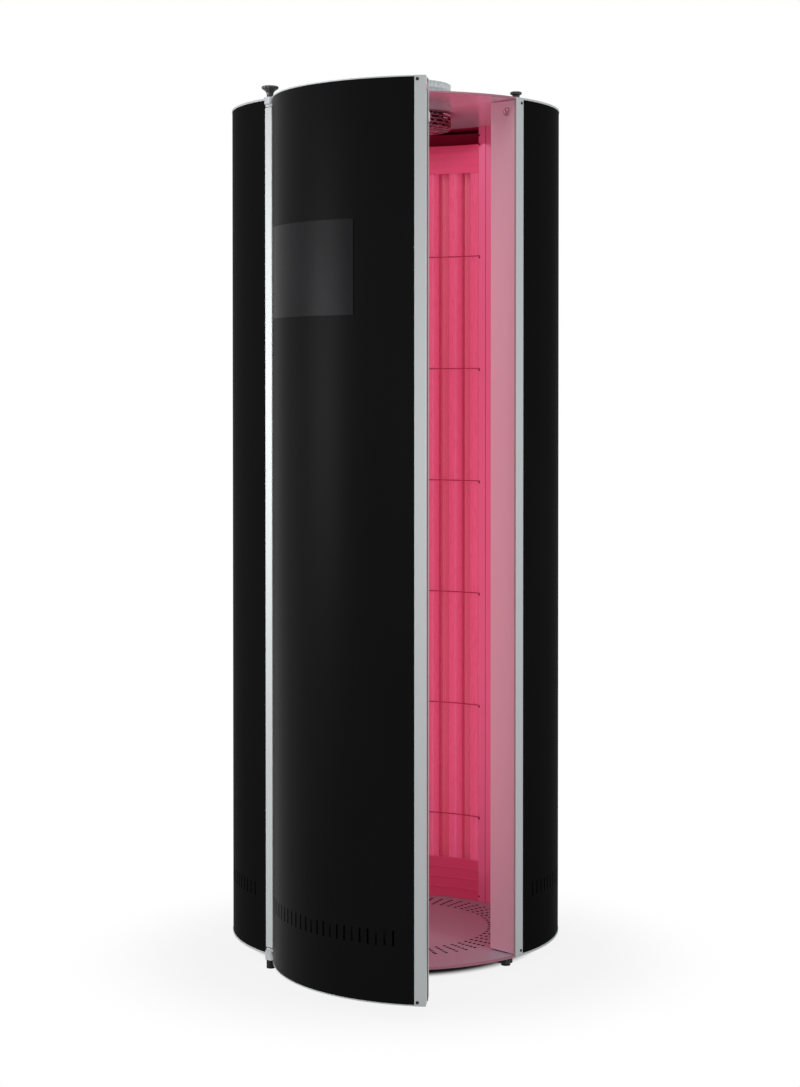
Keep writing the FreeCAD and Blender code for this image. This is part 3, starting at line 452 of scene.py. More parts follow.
# the CAD nodes that wear each finish
finishNodes = {
    "satinAnodisedAluminium": "hinge_post latch_post rear_posts door_hinge_stile door_latch_stile door_rails",
    "edgeTrimAluminium": "floor_edge_trim roof_edge_trim",
    "blackAnodisedAluminium": "badge_plate",
    "cabinPowderCoat": "left_skin right_skin rear_skin",
    "doorPowderCoat": "door_skin",
    "blackStoveEnamel": "base_frame fan_spider fan_motor",
    "greyStoveEnamel": "wall_ballasts door_ballasts terminal_box",
    "floorEnamel": "floor_plate",
    "ceilingEnamel": "roof_plate",
    "hingeLiningEnamel": "hinge_lining",
    "liningEnamel": "latch_lining",
    "cornerEnamel": "corner_covers",
    "cabinCoverEnamel": "wall_top_covers wall_bottom_covers",
    "doorCoverEnamel": "door_end_covers",
    "cabinReflectorSheet": "left_reflector right_reflector rear_reflector",
    "doorReflectorSheet": "door_reflector",
    "lampPhosphorGlass": "left_lamps right_lamps rear_lamps door_lamps",
    "mouldedPolycarbonate": "wall_lampholders door_lampholders",
    "mouldedNylon": "frame_end_caps fan_rotor cable_gland",
    "mouldedRubber": "foot_pads hinge_foot",
    "mouldedSealRubber": "door_seal",
    "pressedPhenolic": "hinge_pin_cap roof_knob",
    "hotDipZincSheet": "exhaust_collar",
    "platedSteel": "hinge_block_top hinge_block_bottom hinge_arms hinge_pin_bottom hinge_pin_top",
    "lacqueredWire": "fan_guard",
    "roseWire": "wall_guard_wires door_guard_wires",
    "roseCatchSteel": "catch_magnet strike_plate",
    "roseScrewSteel": "cover_screws",
    "blackOxideSteel": "post_screws door_screws",
}
for finish, nodes in finishNodes.items():
    for node in nodes.split():
        for holder in cadNodes[node].material_slots:
            holder.material = finishes[finish]
print("booth:", len(finishNodes), "finishes on the CAD nodes")


def ringFaces(rows, sides, capped=True):
    # quads between rows of points, and a face on each end
    faces = []
    for row in range(rows - 1):
        for step in range(sides):
            a = row * sides + step
            b = row * sides + (step + 1) % sides
            faces.append((a, b, b + sides, a + sides))
    if capped:
        faces.append(tuple(range(sides - 1, -1, -1)))
        faces.append(tuple(range((rows - 1) * sides, rows * sides)))
    return faces


def turned(profile, sides, shape=None):
    # rows of radius, height and, where given, share of the shape, turned about +Z
    verts = []
    for radius, height, *share in profile:
        for step in range(sides):
            turn = math.tau * step / sides
            reach = radius * (1 + share[0] * (shape(turn) - 1)) if share else radius
            verts.append(Vector((reach * math.cos(turn), reach * math.sin(turn), height)))
    return verts, ringFaces(len(profile), sides, capped=False)


def rod(path, radius, sides):
    # round wire along a list of points
    verts = []
    last = len(path) - 1
    for index, point in enumerate(path):
        ahead = path[min(index + 1, last)] - path[max(index - 1, 0)]
        turn = ahead.to_track_quat("Z", "Y")
        for step in range(sides):
            angle = math.tau * step / sides
            verts.append(point + turn @ Vector((radius * math.cos(angle), radius * math.sin(angle), 0)))
    return verts, ringFaces(len(path), sides)


cornerSteps = 5        # of a slab's rounded corner


def slab(width, depth, corner, rows):
    # a rounded rectangle drawn up through rows of inset and height, closed at both ends
    outline = []
    for quarter in range(4):
        for step in range(cornerSteps + 1):
            angle = math.pi / 2 * (quarter + step / cornerSteps)
            across = (width / 2 - corner) * (1 if quarter in (0, 3) else -1)
            along = (depth / 2 - corner) * (1 if quarter in (0, 1) else -1)
            outline.append((across, along, math.cos(angle), math.sin(angle)))
    verts = []
    for inset, height in rows:
        for across, along, outX, outY in outline:
            verts.append(Vector((across + (corner - inset) * outX, along + (corner - inset) * outY, height)))
    return verts, ringFaces(len(rows), len(outline))


def placed(part, matrix):
    verts, faces = part
    return [matrix @ vert for vert in verts], faces


def inMetres(profile):
    return [(mm(row[0]), mm(row[1]), *row[2:]) for row in profile]


def scaled(profile, radius, height):
    # rows that are shares of a radius and a height
    return [(row[0] * radius, row[1] * height, *row[2:]) for row in profile]


def ribbed(radius, height, drum):
    # grooves round a drum between its two edges
    edge = mm(drum["edge"])
    room = (height - 2 * edge) / drum["ribs"]
    return [(radius - mm(drum["ribDepth"]) * deep, edge + rib * room + room * share)
            for rib in range(drum["ribs"]) for share, deep in drum["ribForm"]]


def standOn(low, high):
    # the middle of a box's underside
    return Matrix.Translation(((low[0] + high[0]) / 2, (low[1] + high[1]) / 2, low[2]))


def facing(out):
    # turns +Z to a level direction and keeps +Y upright
    up = Vector((0, 0, 1))
    return Matrix((up.cross(out), up, out)).transposed().to_4x4()


def grooved(count, depth, sharpness):
    # the share of its radius that a part keeps round flutes or knurls
    def kept(turn):
        return 1 - depth * (0.5 + 0.5 * math.cos(count * turn)) ** sharpness

    return kept


def hexagon(turn):
    # distance of a hexagon's side from its middle, where its corners are at 1
    return math.cos(math.pi / 6) / math.cos(turn % (math.pi / 3) - math.pi / 6)


sameCorner = 5       # decimals of a metre to which the corners of one solid agree


def solidsOf(node):
    # the corners of each separate solid in a CAD node
    mesh = cadNodes[node].data
    places = {}
    group = [places.setdefault(tuple(round(value, sameCorner) for value in vertex.co), vertex.index)
             for vertex in mesh.vertices]

    def first(index):
        while group[index] != index:
            group[index] = group[group[index]]
            index = group[index]
        return index

    for edge in mesh.edges:
        start, end = edge.vertices
        group[first(start)] = first(end)
    found = {}
    for vertex in mesh.vertices:
        found.setdefault(first(vertex.index), []).append(vertex.co)
    return [np.array(points) for points in found.values()]


def seatOf(points, towards):
    # a round solid's foot, its size, and the turn that stands +Z along its axis towards a point
    middle = (points.min(axis=0) + points.max(axis=0)) / 2
    axis = np.linalg.svd(points - points.mean(axis=0), full_matrices=False)[2][2]
    if np.dot(axis, np.array(towards) - middle) < 0:
        axis = -axis
    along = (points - middle) @ axis
    height = along.max() - along.min()
    off = (points - middle) - np.outer(along, axis)
    radius = np.linalg.norm(off, axis=1).max()
    foot = Vector(middle) - Vector(axis) * height / 2
    turn = Vector(axis).to_track_quat("Z", "Y").to_matrix().to_4x4()
    return Matrix.Translation(foot) @ turn, radius, height


weldGap = mm(0.002)        # corners closer than this become one
shortEdge = mm(0.001)      # and shorter edges vanish


def showPiece(name, parts, finish, body, stands=(), crease=38):
    # one mesh piece from parts that are already in the booth's place
    built = bmesh.new()
    for verts, faces in parts:
        corners = [built.verts.new(vert) for vert in verts]
        for face in faces:
            built.faces.new([corners[index] for index in face])
        bmesh.ops.remove_doubles(built, verts=corners, dist=weldGap)
    bmesh.ops.dissolve_degenerate(built, edges=built.edges, dist=shortEdge)
    bmesh.ops.recalc_face_normals(built, faces=built.faces)
    mesh = bpy.data.meshes.new(name)
    built.to_mesh(mesh)
    built.free()
    mesh.shade_smooth()
    mesh.set_sharp_from_angle(angle=math.radians(crease))
    mesh.materials.append(finishes[finish])
    piece = bpy.data.objects.new(name, mesh)
    scene.collection.objects.link(piece)
    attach(piece, body)
    if stands:
        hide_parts(*stands)


# upper hinge pin's hand cap: a fluted mushroom on a short neck
hingeCap = {
    "profile": [(0, 0), (8.1, 0), (8.5, 0.5), (8.6, 5), (9.2, 9.5), (11.2, 13.6, 0.3), (15.4, 17.4, 0.8),
                (19.4, 19.8, 1), (21.8, 22, 1), (22.5, 24, 1), (22.3, 25.6, 1), (20.8, 27.2, 0.9),
                (17.6, 28.4, 0.6), (12, 29.2, 0.2), (6, 29.45), (0, 29.5)],
    "sides": 120,
    "flutes": (10, 0.07, 3),        # count, depth as a share of the radius, sharpness
    "crease": 30,
}


def makeHingeCap(cap):
    low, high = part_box("hinge_pin_cap")
    head = turned(inMetres(cap["profile"]), cap["sides"], grooved(*cap["flutes"]))
    part = placed(head, standOn(low, high))
    showPiece("hingeHandCap", [part], "pressedPhenolic", "hinge_pin", ["hinge_pin_cap"],
              cap["crease"])


# roof hand knob: a knurled mushroom head on a plain stud
roofKnob = {
    "head": [(9.9, 0), (9.6, 2.2), (9.2, 5.2), (11.2, 7), (14.2, 8.4, 1), (15, 9.8, 1), (15, 12.4, 1),
             (14.1, 14.2, 1), (11.8, 15.4), (6, 15.9), (0, 16)],
    "sides": 144,
    "stud": 4.0,
    "studEnd": (0.7, 0.8),  # chamfer, inwards and upwards
    "gap": 0.3,             # head above the roof
    "knurls": (24, 0.035, 2),
    "crease": 30,
}


def makeRoofKnob(knob):
    low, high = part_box("roof_knob")
    base = (roofTop - low.z) * 1000 + knob["gap"]
    stud = knob["stud"]
    inwards, upwards = knob["studEnd"]
    rows = [(0, 0), (stud - inwards, 0), (stud, upwards), (stud, base)]
    rows += [(row[0], row[1] + base, *row[2:]) for row in knob["head"]]
    part = placed(turned(inMetres(rows), knob["sides"], grooved(*knob["knurls"])), standOn(low, high))
    showPiece("roofHandKnob", [part], "pressedPhenolic", "roof_knob", ["roof_knob"],
              knob["crease"])


# button heads with a hexagon socket; sizes are shares of the head's radius and height
screwHead = {
    "profile": [(0, 0), (0.97, 0), (1, 0.08), (1, 0.3), (0.93, 0.62), (0.76, 0.9), (0.52, 1), (0.5, 1, 1),
                (0.46, 0.94, 1), (0.44, 0.25, 1), (0, 0.2)],
    "sides": 24,
}


def makeScrews(name, node, finish, body, centre, inwards=False):
    parts = []
    for points in solidsOf(node):
        middle = Vector(points.mean(axis=0))
        away = Vector((middle.x - centre[0], middle.y - centre[1], 0)).normalized()
        towards = middle - away if inwards else middle + away
        seat, radius, height = seatOf(points, towards)
        rows = scaled(screwHead["profile"], radius, height)
        parts.append(placed(turned(rows, screwHead["sides"], hexagon), seat))
    showPiece(name, parts, finish, body, [node])
    print("booth:", len(parts), "heads in", name)


# magnetic catch: a pot with a raised rim round its magnet, in shares of its radius and height
catchPot = {
    "profile": [(0, 0), (0.97, 0), (1, 0.06), (1, 0.9), (0.97, 1), (0.68, 1), (0.64, 0.94), (0.62, 0.82),
                (0.52, 0.82), (0.5, 0.94), (0.47, 0.97), (0, 0.97)],
    "sides": 64,
}


def makeCatch(pot):
    points = solidsOf("catch_magnet")[0]
    seat, radius, height = seatOf(points, (0, -cabinRadius, points[:, 2].mean()))
    part = placed(turned(scaled(pot["profile"], radius, height), pot["sides"]), seat)
    showPiece("latchCatchPot", [part], "roseCatchSteel", "cabin", ["catch_magnet"])


# pale moulded buffer on the latch stile's edge, at its inner corner near the top
stileBuffer = {
    "width": 24.0,
    "height": 23.0,
    "corner": 3.0,
    "rows": [(0, 0), (0, 2.0), (0.3, 2.6), (0.8, 2.8), (3, 2.8)],       # inset and height above the stile
    "back": 13.0,           # its middle from the inner corner
    "centre": 2133.5,       # height of its middle
    "innerBand": 0.5,       # the stile's inner corners lie within this of its least radius
}


def makeStileBuffer(buffer):
    plate = solidsOf("strike_plate")[0]
    stile = solidsOf("door_latch_stile")[0]
    reach = [math.hypot(point[0] - doorCentre.x, point[1] - doorCentre.y) for point in stile]
    innerEnd = min(reach) + mm(buffer["innerBand"])
    inner = [Vector(point) for point, far in zip(stile, reach) if far < innerEnd]
    middle = (plate.min(axis=0) + plate.max(axis=0)) / 2
    corner = min(inner, key=lambda point: math.hypot(point.x - middle[0], point.y - middle[1]))
    radial = Vector((corner.x - doorCentre.x, corner.y - doorCentre.y, 0)).normalized()
    low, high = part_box("badge_plate")
    badge = (low + high) / 2 - corner
    face = Vector((0, 0, 1)).cross(radial)
    if face.dot(badge) > 0:
        face = -face
    place = facing(face)
    place.translation = Vector((corner.x, corner.y, mm(buffer["centre"]))) + radial * mm(buffer["back"])
    body = slab(mm(buffer["width"]), mm(buffer["height"]), mm(buffer["corner"]), inMetres(buffer["rows"]))
    showPiece("doorEdgeBuffer", [placed(body, place)], "mouldedPolycarbonate", "door")


# wire basket under the fan: crossed hoops and rings of drawn wire round a dark filter sheet, which is painted
# shade inside the basket
fanBasket = {
    "hoops": 24,            # each way
    "twist": 24.0,          # degrees that a hoop turns on its way down the side
    "hoopWire": 1.5,        # wire radius
    "hoopSides": 6,
    "sideSteps": 4,         # points of a hoop down the side
    "floorBend": 0.6,       # its point on the floor, share of the radius
    "ringWire": 1.9,
    "ringSides": 8,
    "ringSteps": 108,
    "corner": 7.0,          # rounded lower edge
    "cornerTurns": (0, 22.5, 45, 67.5, 90),
    "cornerRing": 0.3,      # ring on the rounded edge, share of its radius in and up
    "lip": 2.4,
    "sideRings": (0.3, 0.58, 0.86),
    "floorRings": (0.3, 0.53, 0.77),
    "eye": 0.14,            # middle disc, share of the radius
    "eyeSteps": 48,
    "filterGap": 3.2,       # filter inside the wires
    "filterWall": 2.0,
    "filterSteps": 96,
    "clipTurns": (71, 161, 251, 341),               # spring clips round the side, degrees from the front
    "clips": ((26, 5.5, 6.5), (9, 4.0, 16.5)),      # span in degrees, height, drop below the roof
    "clipSteps": 12,
    "clipEnd": 0.55,        # a clip's height at its two ends, share of its height between them
    "clipSection": ((0.2, -1), (1.3, -0.7), (1.5, 0), (1.3, 0.7), (0.2, 1)),    # out, share of half height
}


guardLow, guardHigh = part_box("fan_guard")
ringWire = mm(fanBasket["ringWire"])
cageRadius = guardHigh.x - mm(fanBasket["lip"]) - ringWire
cageTop = guardHigh.z - ringWire
cageBottom = guardLow.z + ringWire
cageCorner = mm(fanBasket["corner"])
hoopWire = mm(fanBasket["hoopWire"])


def cageEdge(inset):
    # points round the basket's lower edge, from its side to its floor
    return [(cageRadius - cageCorner + (cageCorner - inset) * math.cos(math.radians(turn)),
             cageBottom + cageCorner - (cageCorner - inset) * math.sin(math.radians(turn)))
            for turn in fanBasket["cornerTurns"]]


def makeWireBasket(basket):
    eye = cageRadius * basket["eye"]
    depth = cageTop - cageBottom
    straight = depth - cageCorner
    steps = basket["sideSteps"]
    route = [(cageRadius, cageTop - 2 * hoopWire - (straight - 2 * hoopWire) * step / steps)
             for step in range(steps)]
    route += cageEdge(0) + [(cageRadius * basket["floorBend"], cageBottom), (eye, cageBottom)]
    parts = []
    for way in (-1, 1):
        for hoop in range(basket["hoops"]):
            path = []
            for reach, height in route:
                drop = (cageTop - height) / depth
                turn = math.tau * hoop / basket["hoops"] + way * math.radians(basket["twist"]) * drop
                path.append(Vector((reach * math.cos(turn), reach * math.sin(turn), height)))
            parts.append(rod(path, hoopWire, basket["hoopSides"]))
    rings = [(cageRadius, cageTop - straight * share) for share in basket["sideRings"]]
    rounded = cageCorner * basket["cornerRing"]
    rings += [(cageRadius, cageTop), (cageRadius - rounded, cageBottom + rounded)]
    rings += [(cageRadius * share, cageBottom) for share in basket["floorRings"]]
    turns = [math.tau * step / basket["ringSides"] for step in range(basket["ringSides"] + 1)]
    for reach, height in rings:
        circle = [(reach + ringWire * math.cos(turn), height + ringWire * math.sin(turn)) for turn in turns]
        parts.append(turned(circle, basket["ringSteps"]))
    disc = [(0, cageBottom - ringWire), (eye, cageBottom - ringWire), (eye + ringWire, cageBottom),
            (eye, cageBottom + ringWire), (0, cageBottom + ringWire)]
    parts.append(turned(disc, basket["eyeSteps"]))
    showPiece("fanWireBasket", parts, "lacqueredWire", "cabin", ["fan_guard"])


# the clips' near-white colour is a painted glint on the basket's side
def makeBasketClips(basket):
    parts = []
    steps = basket["clipSteps"]
    for middle in basket["clipTurns"]:
        start = middle - basket["clips"][0][0] / 2
        for span, height, drop in basket["clips"]:
            verts = []
            for step in range(steps + 1):
                turn = math.radians(start + span * step / steps)
                half = mm(height) / 2 * (basket["clipEnd"] if step in (0, steps) else 1)
                for out, share in basket["clipSection"]:
                    reach = cageRadius + hoopWire + mm(out)
                    verts.append(Vector((reach * math.sin(turn), -reach * math.cos(turn),
                                         guardHigh.z - mm(drop) + half * share)))
            parts.append((verts, ringFaces(steps + 1, len(basket["clipSection"]))))
    showPiece("fanBasketClips", parts, "glintWhiteSpringSteel", "cabin")


# a dark fleece sheet inside the wires, put there as painted shade
def makeShadeFilter(basket):
    gap = mm(basket["filterGap"])
    wall = mm(basket["filterWall"])
    outside = [(0, cageBottom + gap)] + cageEdge(gap)[::-1] + [(cageRadius - gap, cageTop)]
    inside = [(cageRadius - gap - wall, cageTop)] + cageEdge(gap + wall) + [(0, cageBottom + gap + wall)]
    showPiece("fanShadeFilter", [turned(outside + inside, basket["filterSteps"])], "darkFleeceAndShade", "cabin")


# foam strips that close the joint between the skins and the roof
skinSeal = {"inset": 0.3, "thick": 1.6, "height": 6.0, "step": 2.0}


def makeSkinSeals(seal):
    parts = []
    inner = skinFace - mm(seal["inset"] + seal["thick"])
    outer = skinFace - mm(seal["inset"])
    low = roofBottom - mm(seal["height"])
    for node in ("right_skin", "rear_skin", "left_skin"):
        turns = [math.atan2(vertex.co.x, -vertex.co.y) % math.tau for vertex in cadNodes[node].data.vertices]
        start, end = min(turns), max(turns)
        count = round(math.degrees(end - start) / seal["step"])
        verts = []
        for step in range(count + 1):
            turn = start + (end - start) * step / count
            for reach, height in ((inner, low), (outer, low), (outer, roofBottom), (inner, roofBottom)):
                verts.append(Vector((reach * math.sin(turn), -reach * math.cos(turn), height)))
        parts.append((verts, ringFaces(count + 1, 4)))
    showPiece("skinTopSeals", parts, "darkFleeceAndShade", "cabin")


# moulded axial rotor: five twisted blades on a domed hub
fanRotor = {
    "blades": 5,
    "hubRadius": 44.0,
    "hubHeight": 16.0,
    "hubProfile": [(0, -1), (0.5, -0.96), (0.86, -0.7), (1, -0.2), (1, 0.5), (0.97, 0.62), (0.2, 0.62),
                   (0.16, 0.8)],    # shares of the hub's radius and half its height
    "hubSides": 72,
    "rise": 30.0,           # blades above the roof
    "root": 0.93,           # where a blade starts, share of the hub's radius
    "chord": (62.0, 78.0),  # at the hub and at the tip
    "pitch": (34.0, 20.0),
    "thick": 3.4,
    "thinning": 0.45,       # share of the thickness lost towards the tip
    "camber": 0.05,         # share of the chord
    "sweep": 0.12,          # radians that the tip stands ahead of the root
    "steps": (10, 16),      # along a blade and round it
    "tipRoom": 0.5,
    "shaft": 4.0,
}


def makeFanRotor(rotor):
    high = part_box("fan_rotor")[1]
    middle = roofTop + mm(rotor["rise"])
    hub = mm(rotor["hubRadius"])
    half = mm(rotor["hubHeight"]) / 2
    shaft = mm(rotor["shaft"])
    rows = scaled(rotor["hubProfile"], hub, half)
    rows += [(shaft, half), (shaft, high.z - middle), (0, high.z - middle)]
    parts = [placed(turned(rows, rotor["hubSides"]), Matrix.Translation((0, 0, middle)))]
    root = hub * rotor["root"]
    tip = high.x - mm(rotor["tipRoom"])
    spans, around = rotor["steps"]
    for blade in range(rotor["blades"]):
        verts = []
        for span in range(spans + 1):
            share = span / spans
            reach = root + (tip - root) * share
            chord = mm(rotor["chord"][0] + (rotor["chord"][1] - rotor["chord"][0]) * share)
            pitch = math.radians(rotor["pitch"][0] + (rotor["pitch"][1] - rotor["pitch"][0]) * share)
            thick = mm(rotor["thick"]) * (1 - rotor["thinning"] * share)
            for step in range(around):
                angle = math.tau * step / around
                along = chord / 2 * math.cos(angle)
                camber = chord * rotor["camber"] * (1 - (2 * along / chord) ** 2)
                up = camber + thick / 2 * math.sin(angle)
                flat = along * math.cos(pitch) - up * math.sin(pitch)
                rise = along * math.sin(pitch) + up * math.cos(pitch)
                turn = math.tau * blade / rotor["blades"] + flat / reach + rotor["sweep"] * share
                verts.append(Vector((reach * math.cos(turn), reach * math.sin(turn), middle + rise)))
        parts.append((verts, ringFaces(spans + 1, around)))
    showPiece("fanBladeRotor", parts, "mouldedNylon", "fan", ["fan_rotor"])


# motor can with cooling ribs round it; a rib's form is in shares of its room and its depth
fanMotor = {
    "ribs": 6,
    "ribDepth": 2.4,
    "ribForm": ((0.3, 0), (0.4, 1), (0.7, 1), (0.8, 0)),
    "edge": 2.0,
    "bore": 4.2,
    "sides": 72,
}


def makeFanMotor(motor):
    low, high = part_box("fan_motor")
    radius = (high.x - low.x) / 2
    height = high.z - low.z
    edge = mm(motor["edge"])
    bore = mm(motor["bore"])
    rows = [(bore, 0), (radius - edge, 0), (radius, edge)] + ribbed(radius, height, motor)
    rows += [(radius, height - edge), (radius - edge, height), (0, height), (0, height - edge),
             (bore, height - edge), (bore, 0)]
    part = placed(turned(rows, motor["sides"]), Matrix.Translation((0, 0, low.z)))
    showPiece("fanMotorCan", [part], "blackStoveEnamel", "cabin", ["fan_motor"])


# sheet spigot with rolled beads and a riveted flange
exhaustSpigot = {
    "wall": 1.5,
    "flange": 19.0,
    "flangeThick": 2.0,
    "sides": 144,
    "beads": (0.3, 0.78),   # share of the height
    "beadHalf": 3.0,        # half a bead's height
    "beadDepth": 0.5,       # the wall is drawn in this much either side of its beads
    "beadSteps": 6,
    "rivets": 12,
    "rivetRadius": 3.0,
    "rivetHeight": 1.6,
    "rivetProfile": [(0, 0), (1, 0), (0.92, 0.45), (0.6, 0.85), (0, 1)],
    "rivetSides": 20,
}


def makeExhaustSpigot(spigot):
    low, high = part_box("exhaust_collar")
    flangeOut = high.x
    out = flangeOut - mm(spigot["flange"])
    wall = mm(spigot["wall"])
    inner = out - wall
    sheet = mm(spigot["flangeThick"])
    height = high.z - low.z
    depth = mm(spigot["beadDepth"])
    drawn = out - depth
    rows = [(inner, 0), (flangeOut - wall / 2, 0), (flangeOut, wall / 2), (flangeOut, sheet - wall / 2),
            (flangeOut - wall / 2, sheet), (out + wall * 1.6, sheet), (out + wall * 0.4, sheet + wall * 0.5),
            (drawn, sheet + wall * 2)]
    for share in spigot["beads"]:
        for step in range(spigot["beadSteps"] + 1):
            swing = math.pi * step / spigot["beadSteps"]
            rows.append((drawn + depth * math.sin(swing),
                         height * share - mm(spigot["beadHalf"]) * math.cos(swing)))
    rows += [(drawn, height - wall * 2), (out, height - wall), (out - wall * 0.2, height - wall * 0.3),
             (out - wall * 0.6, height), (inner, height - wall * 0.5), (inner, 0)]
    parts = [placed(turned(rows, spigot["sides"]), Matrix.Translation((0, 0, low.z)))]
    dome = turned(scaled(spigot["rivetProfile"], mm(spigot["rivetRadius"]), mm(spigot["rivetHeight"])),
                  spigot["rivetSides"])
    reach = (flangeOut + out) / 2 + wall
    for rivet in range(spigot["rivets"]):
        turn = math.tau * (rivet + 0.5) / spigot["rivets"]
        place = Matrix.Translation((reach * math.cos(turn), reach * math.sin(turn), low.z + sheet))
        parts.append(placed(dome, place))
    showPiece("exhaustSpigot", parts, "hotDipZincSheet", "cabin", ["exhaust_collar"])


# terminal box: a tray with a lid, a shadow gap between them, and four lid screws
terminalBox = {
    "corner": 6.0,
    "lid": 11.0,
    "gap": 1.2,
    "edge": 1.6,
    "screwInset": 10.0,
    "screwRadius": 3.2,
    "screwRise": 0.9,
    "screwProfile": [(0, 0), (1, 0), (1, 0.6), (0.8, 1), (0.5, 1, 1), (0.46, 0.3, 1), (0, 0.3)],
    "screwSides": 24,
}


def makeTerminalBox(box):
    low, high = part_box("terminal_box")
    width, depth, height = high - low
    edge = mm(box["edge"])
    gap = mm(box["gap"])
    seam = height - mm(box["lid"])
    screwRise = mm(box["screwRise"])
    lidTop = height - screwRise
    rows = [(edge, 0), (0, edge), (0, seam - gap), (gap, seam - gap * 0.6), (gap, seam - gap * 0.4),
            (0, seam), (0, lidTop - edge), (edge * 0.3, lidTop - edge * 0.3), (edge, lidTop)]
    parts = [placed(slab(width, depth, mm(box["corner"]), rows), standOn(low, high))]
    head = turned(scaled(box["screwProfile"], mm(box["screwRadius"]), screwRise), box["screwSides"], hexagon)
    inset = mm(box["screwInset"])
    for x in (low.x + inset, high.x - inset):
        for y in (low.y + inset, high.y - inset):
            parts.append(placed(head, Matrix.Translation((x, y, high.z - screwRise))))
    showPiece("terminalBoxBody", parts, "greyStoveEnamel", "cabin", ["terminal_box"])


# cable gland: a hexagon on the box, a domed hexagon nut and its seal, in shares of radius and length
cableGland = {
    "profile": [(0, 0), (0.98, 0, 1), (1, 0.02, 1), (1, 0.24, 1), (0.94, 0.28, 1), (0.8, 0.3), (0.8, 0.38),
                (0.92, 0.4, 0.6), (0.95, 0.44, 1), (0.95, 0.66, 1), (0.9, 0.76, 0.7), (0.78, 0.88),
                (0.66, 0.96), (0.6, 1), (0.46, 1), (0.42, 0.96), (0.41, 0.6), (0, 0.6)],
    "sides": 48,
}


def makeCableGland(gland):
    low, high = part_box("cable_gland")
    rows = scaled(gland["profile"], (high.x - low.x) / 2, high.y - low.y)
    middle = (low + high) / 2
    place = Matrix.Translation((middle.x, low.y, middle.z)) @ Matrix.Rotation(math.radians(-90), 4, "X")
    part = placed(turned(rows, gland["sides"], hexagon), place)
    showPiece("cableGlandNut", [part], "mouldedNylon", "cabin", ["cable_gland"])


# rubber foot pads with a grip groove, in shares of a pad's radius and height
footPad = {
    "profile": [(0, 0.1), (0.72, 0.1), (0.76, 0), (0.98, 0), (1, 0.12), (0.97, 0.36), (0.91, 0.42),
                (0.91, 0.54), (0.955, 0.6), (0.9, 0.98), (0.88, 1), (0, 1)],
    "sides": 40,
}


def makeFootPads(pad):
    parts = []
    for points in solidsOf("foot_pads"):
        low, high = points.min(axis=0), points.max(axis=0)
        rows = scaled(pad["profile"], (high[0] - low[0]) / 2, high[2] - low[2])
        parts.append(placed(turned(rows, pad["sides"]), standOn(low, high)))
    showPiece("rubberFootPads", parts, "mouldedRubber", "cabin", ["foot_pads"])


# the hinge's ribbed foot
hingeFoot = {
    "ribs": 5,
    "ribDepth": 1.1,
    "ribForm": ((0.55, 0), (0.65, 1), (0.9, 1), (1, 0)),
    "edge": 0.8,
    "sides": 48,
}


def makeHingeFoot(foot):
    low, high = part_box("hinge_foot")
    radius = (high.x - low.x) / 2
    height = high.z - low.z
    edge = mm(foot["edge"])
    rows = [(0, 0), (radius - edge, 0), (radius, edge)] + ribbed(radius, height, foot)
    rows += [(radius - edge, height), (0, height)]
    part = placed(turned(rows, foot["sides"]), standOn(low, high))
    showPiece("ribbedHingeFoot", [part], "mouldedRubber", "cabin", ["hinge_foot"])


# plugs in the ends of the base frame's bars
barPlug = {
    "corner": 2.5,
    "rows": [(0.4, 0), (0, 0.4), (0, 2.4), (0.6, 3), (4.5, 3), (5.2, 2.5)],     # inset and height
}


def makeBarPlugs(plug):
    parts = []
    for points in solidsOf("frame_end_caps"):
        middle = Vector((points.min(axis=0) + points.max(axis=0)) / 2)
        out = Vector((middle.x, middle.y, 0)).normalized()
        inward = min(Vector(point).dot(out) for point in points)
        place = facing(out)
        place.translation = middle + out * (inward - middle.dot(out))
        size = points[:, 2].max() - points[:, 2].min()
        parts.append(placed(slab(size, size, mm(plug["corner"]), inMetres(plug["rows"])), place))
    showPiece("barEndPlugs", parts, "mouldedNylon", "cabin", ["frame_end_caps"])


makeHingeCap(hingeCap)
makeRoofKnob(roofKnob)
makeScrews("latchPostScrews", "post_screws", "blackOxideSteel", "cabin", cabinAxis)
makeScrews("doorStileScrews", "door_screws", "blackOxideSteel", "door", doorCentre)
makeScrews("cornerCoverScrews", "cover_screws", "roseScrewSteel", "cabin", cabinAxis, True)
makeCatch(catchPot)
makeStileBuffer(stileBuffer)
makeWireBasket(fanBasket)
makeBasketClips(fanBasket)
makeShadeFilter(fanBasket)
makeSkinSeals(skinSeal)
makeFanRotor(fanRotor)
makeFanMotor(fanMotor)
makeExhaustSpigot(exhaustSpigot)
makeTerminalBox(terminalBox)
makeCableGland(cableGland)
makeFootPads(footPad)
makeHingeFoot(hingeFoot)
makeBarPlugs(barPlug)
print("booth: pieces made")


def seenDirectly(tree):
    # rays of the camera, rays through glass and rays off metal
    path = addNode(tree, "ShaderNodeLightPath")
    clear = addNode(tree, "ShaderNodeMath", {"operation": "MAXIMUM"},
                    {0: (path, "Is Camera Ray"), 1: (path, "Is Transmission Ray")})
    return addNode(tree, "ShaderNodeMath", {"operation": "MAXIMUM"},
                   {0: (clear, "Value"), 1: (path, "Is Glossy Ray")}), "Value"


white = (1, 1, 1, 1)
roomLight = 0.42       # what the room gives to the booth, where the white that is seen of it is 1


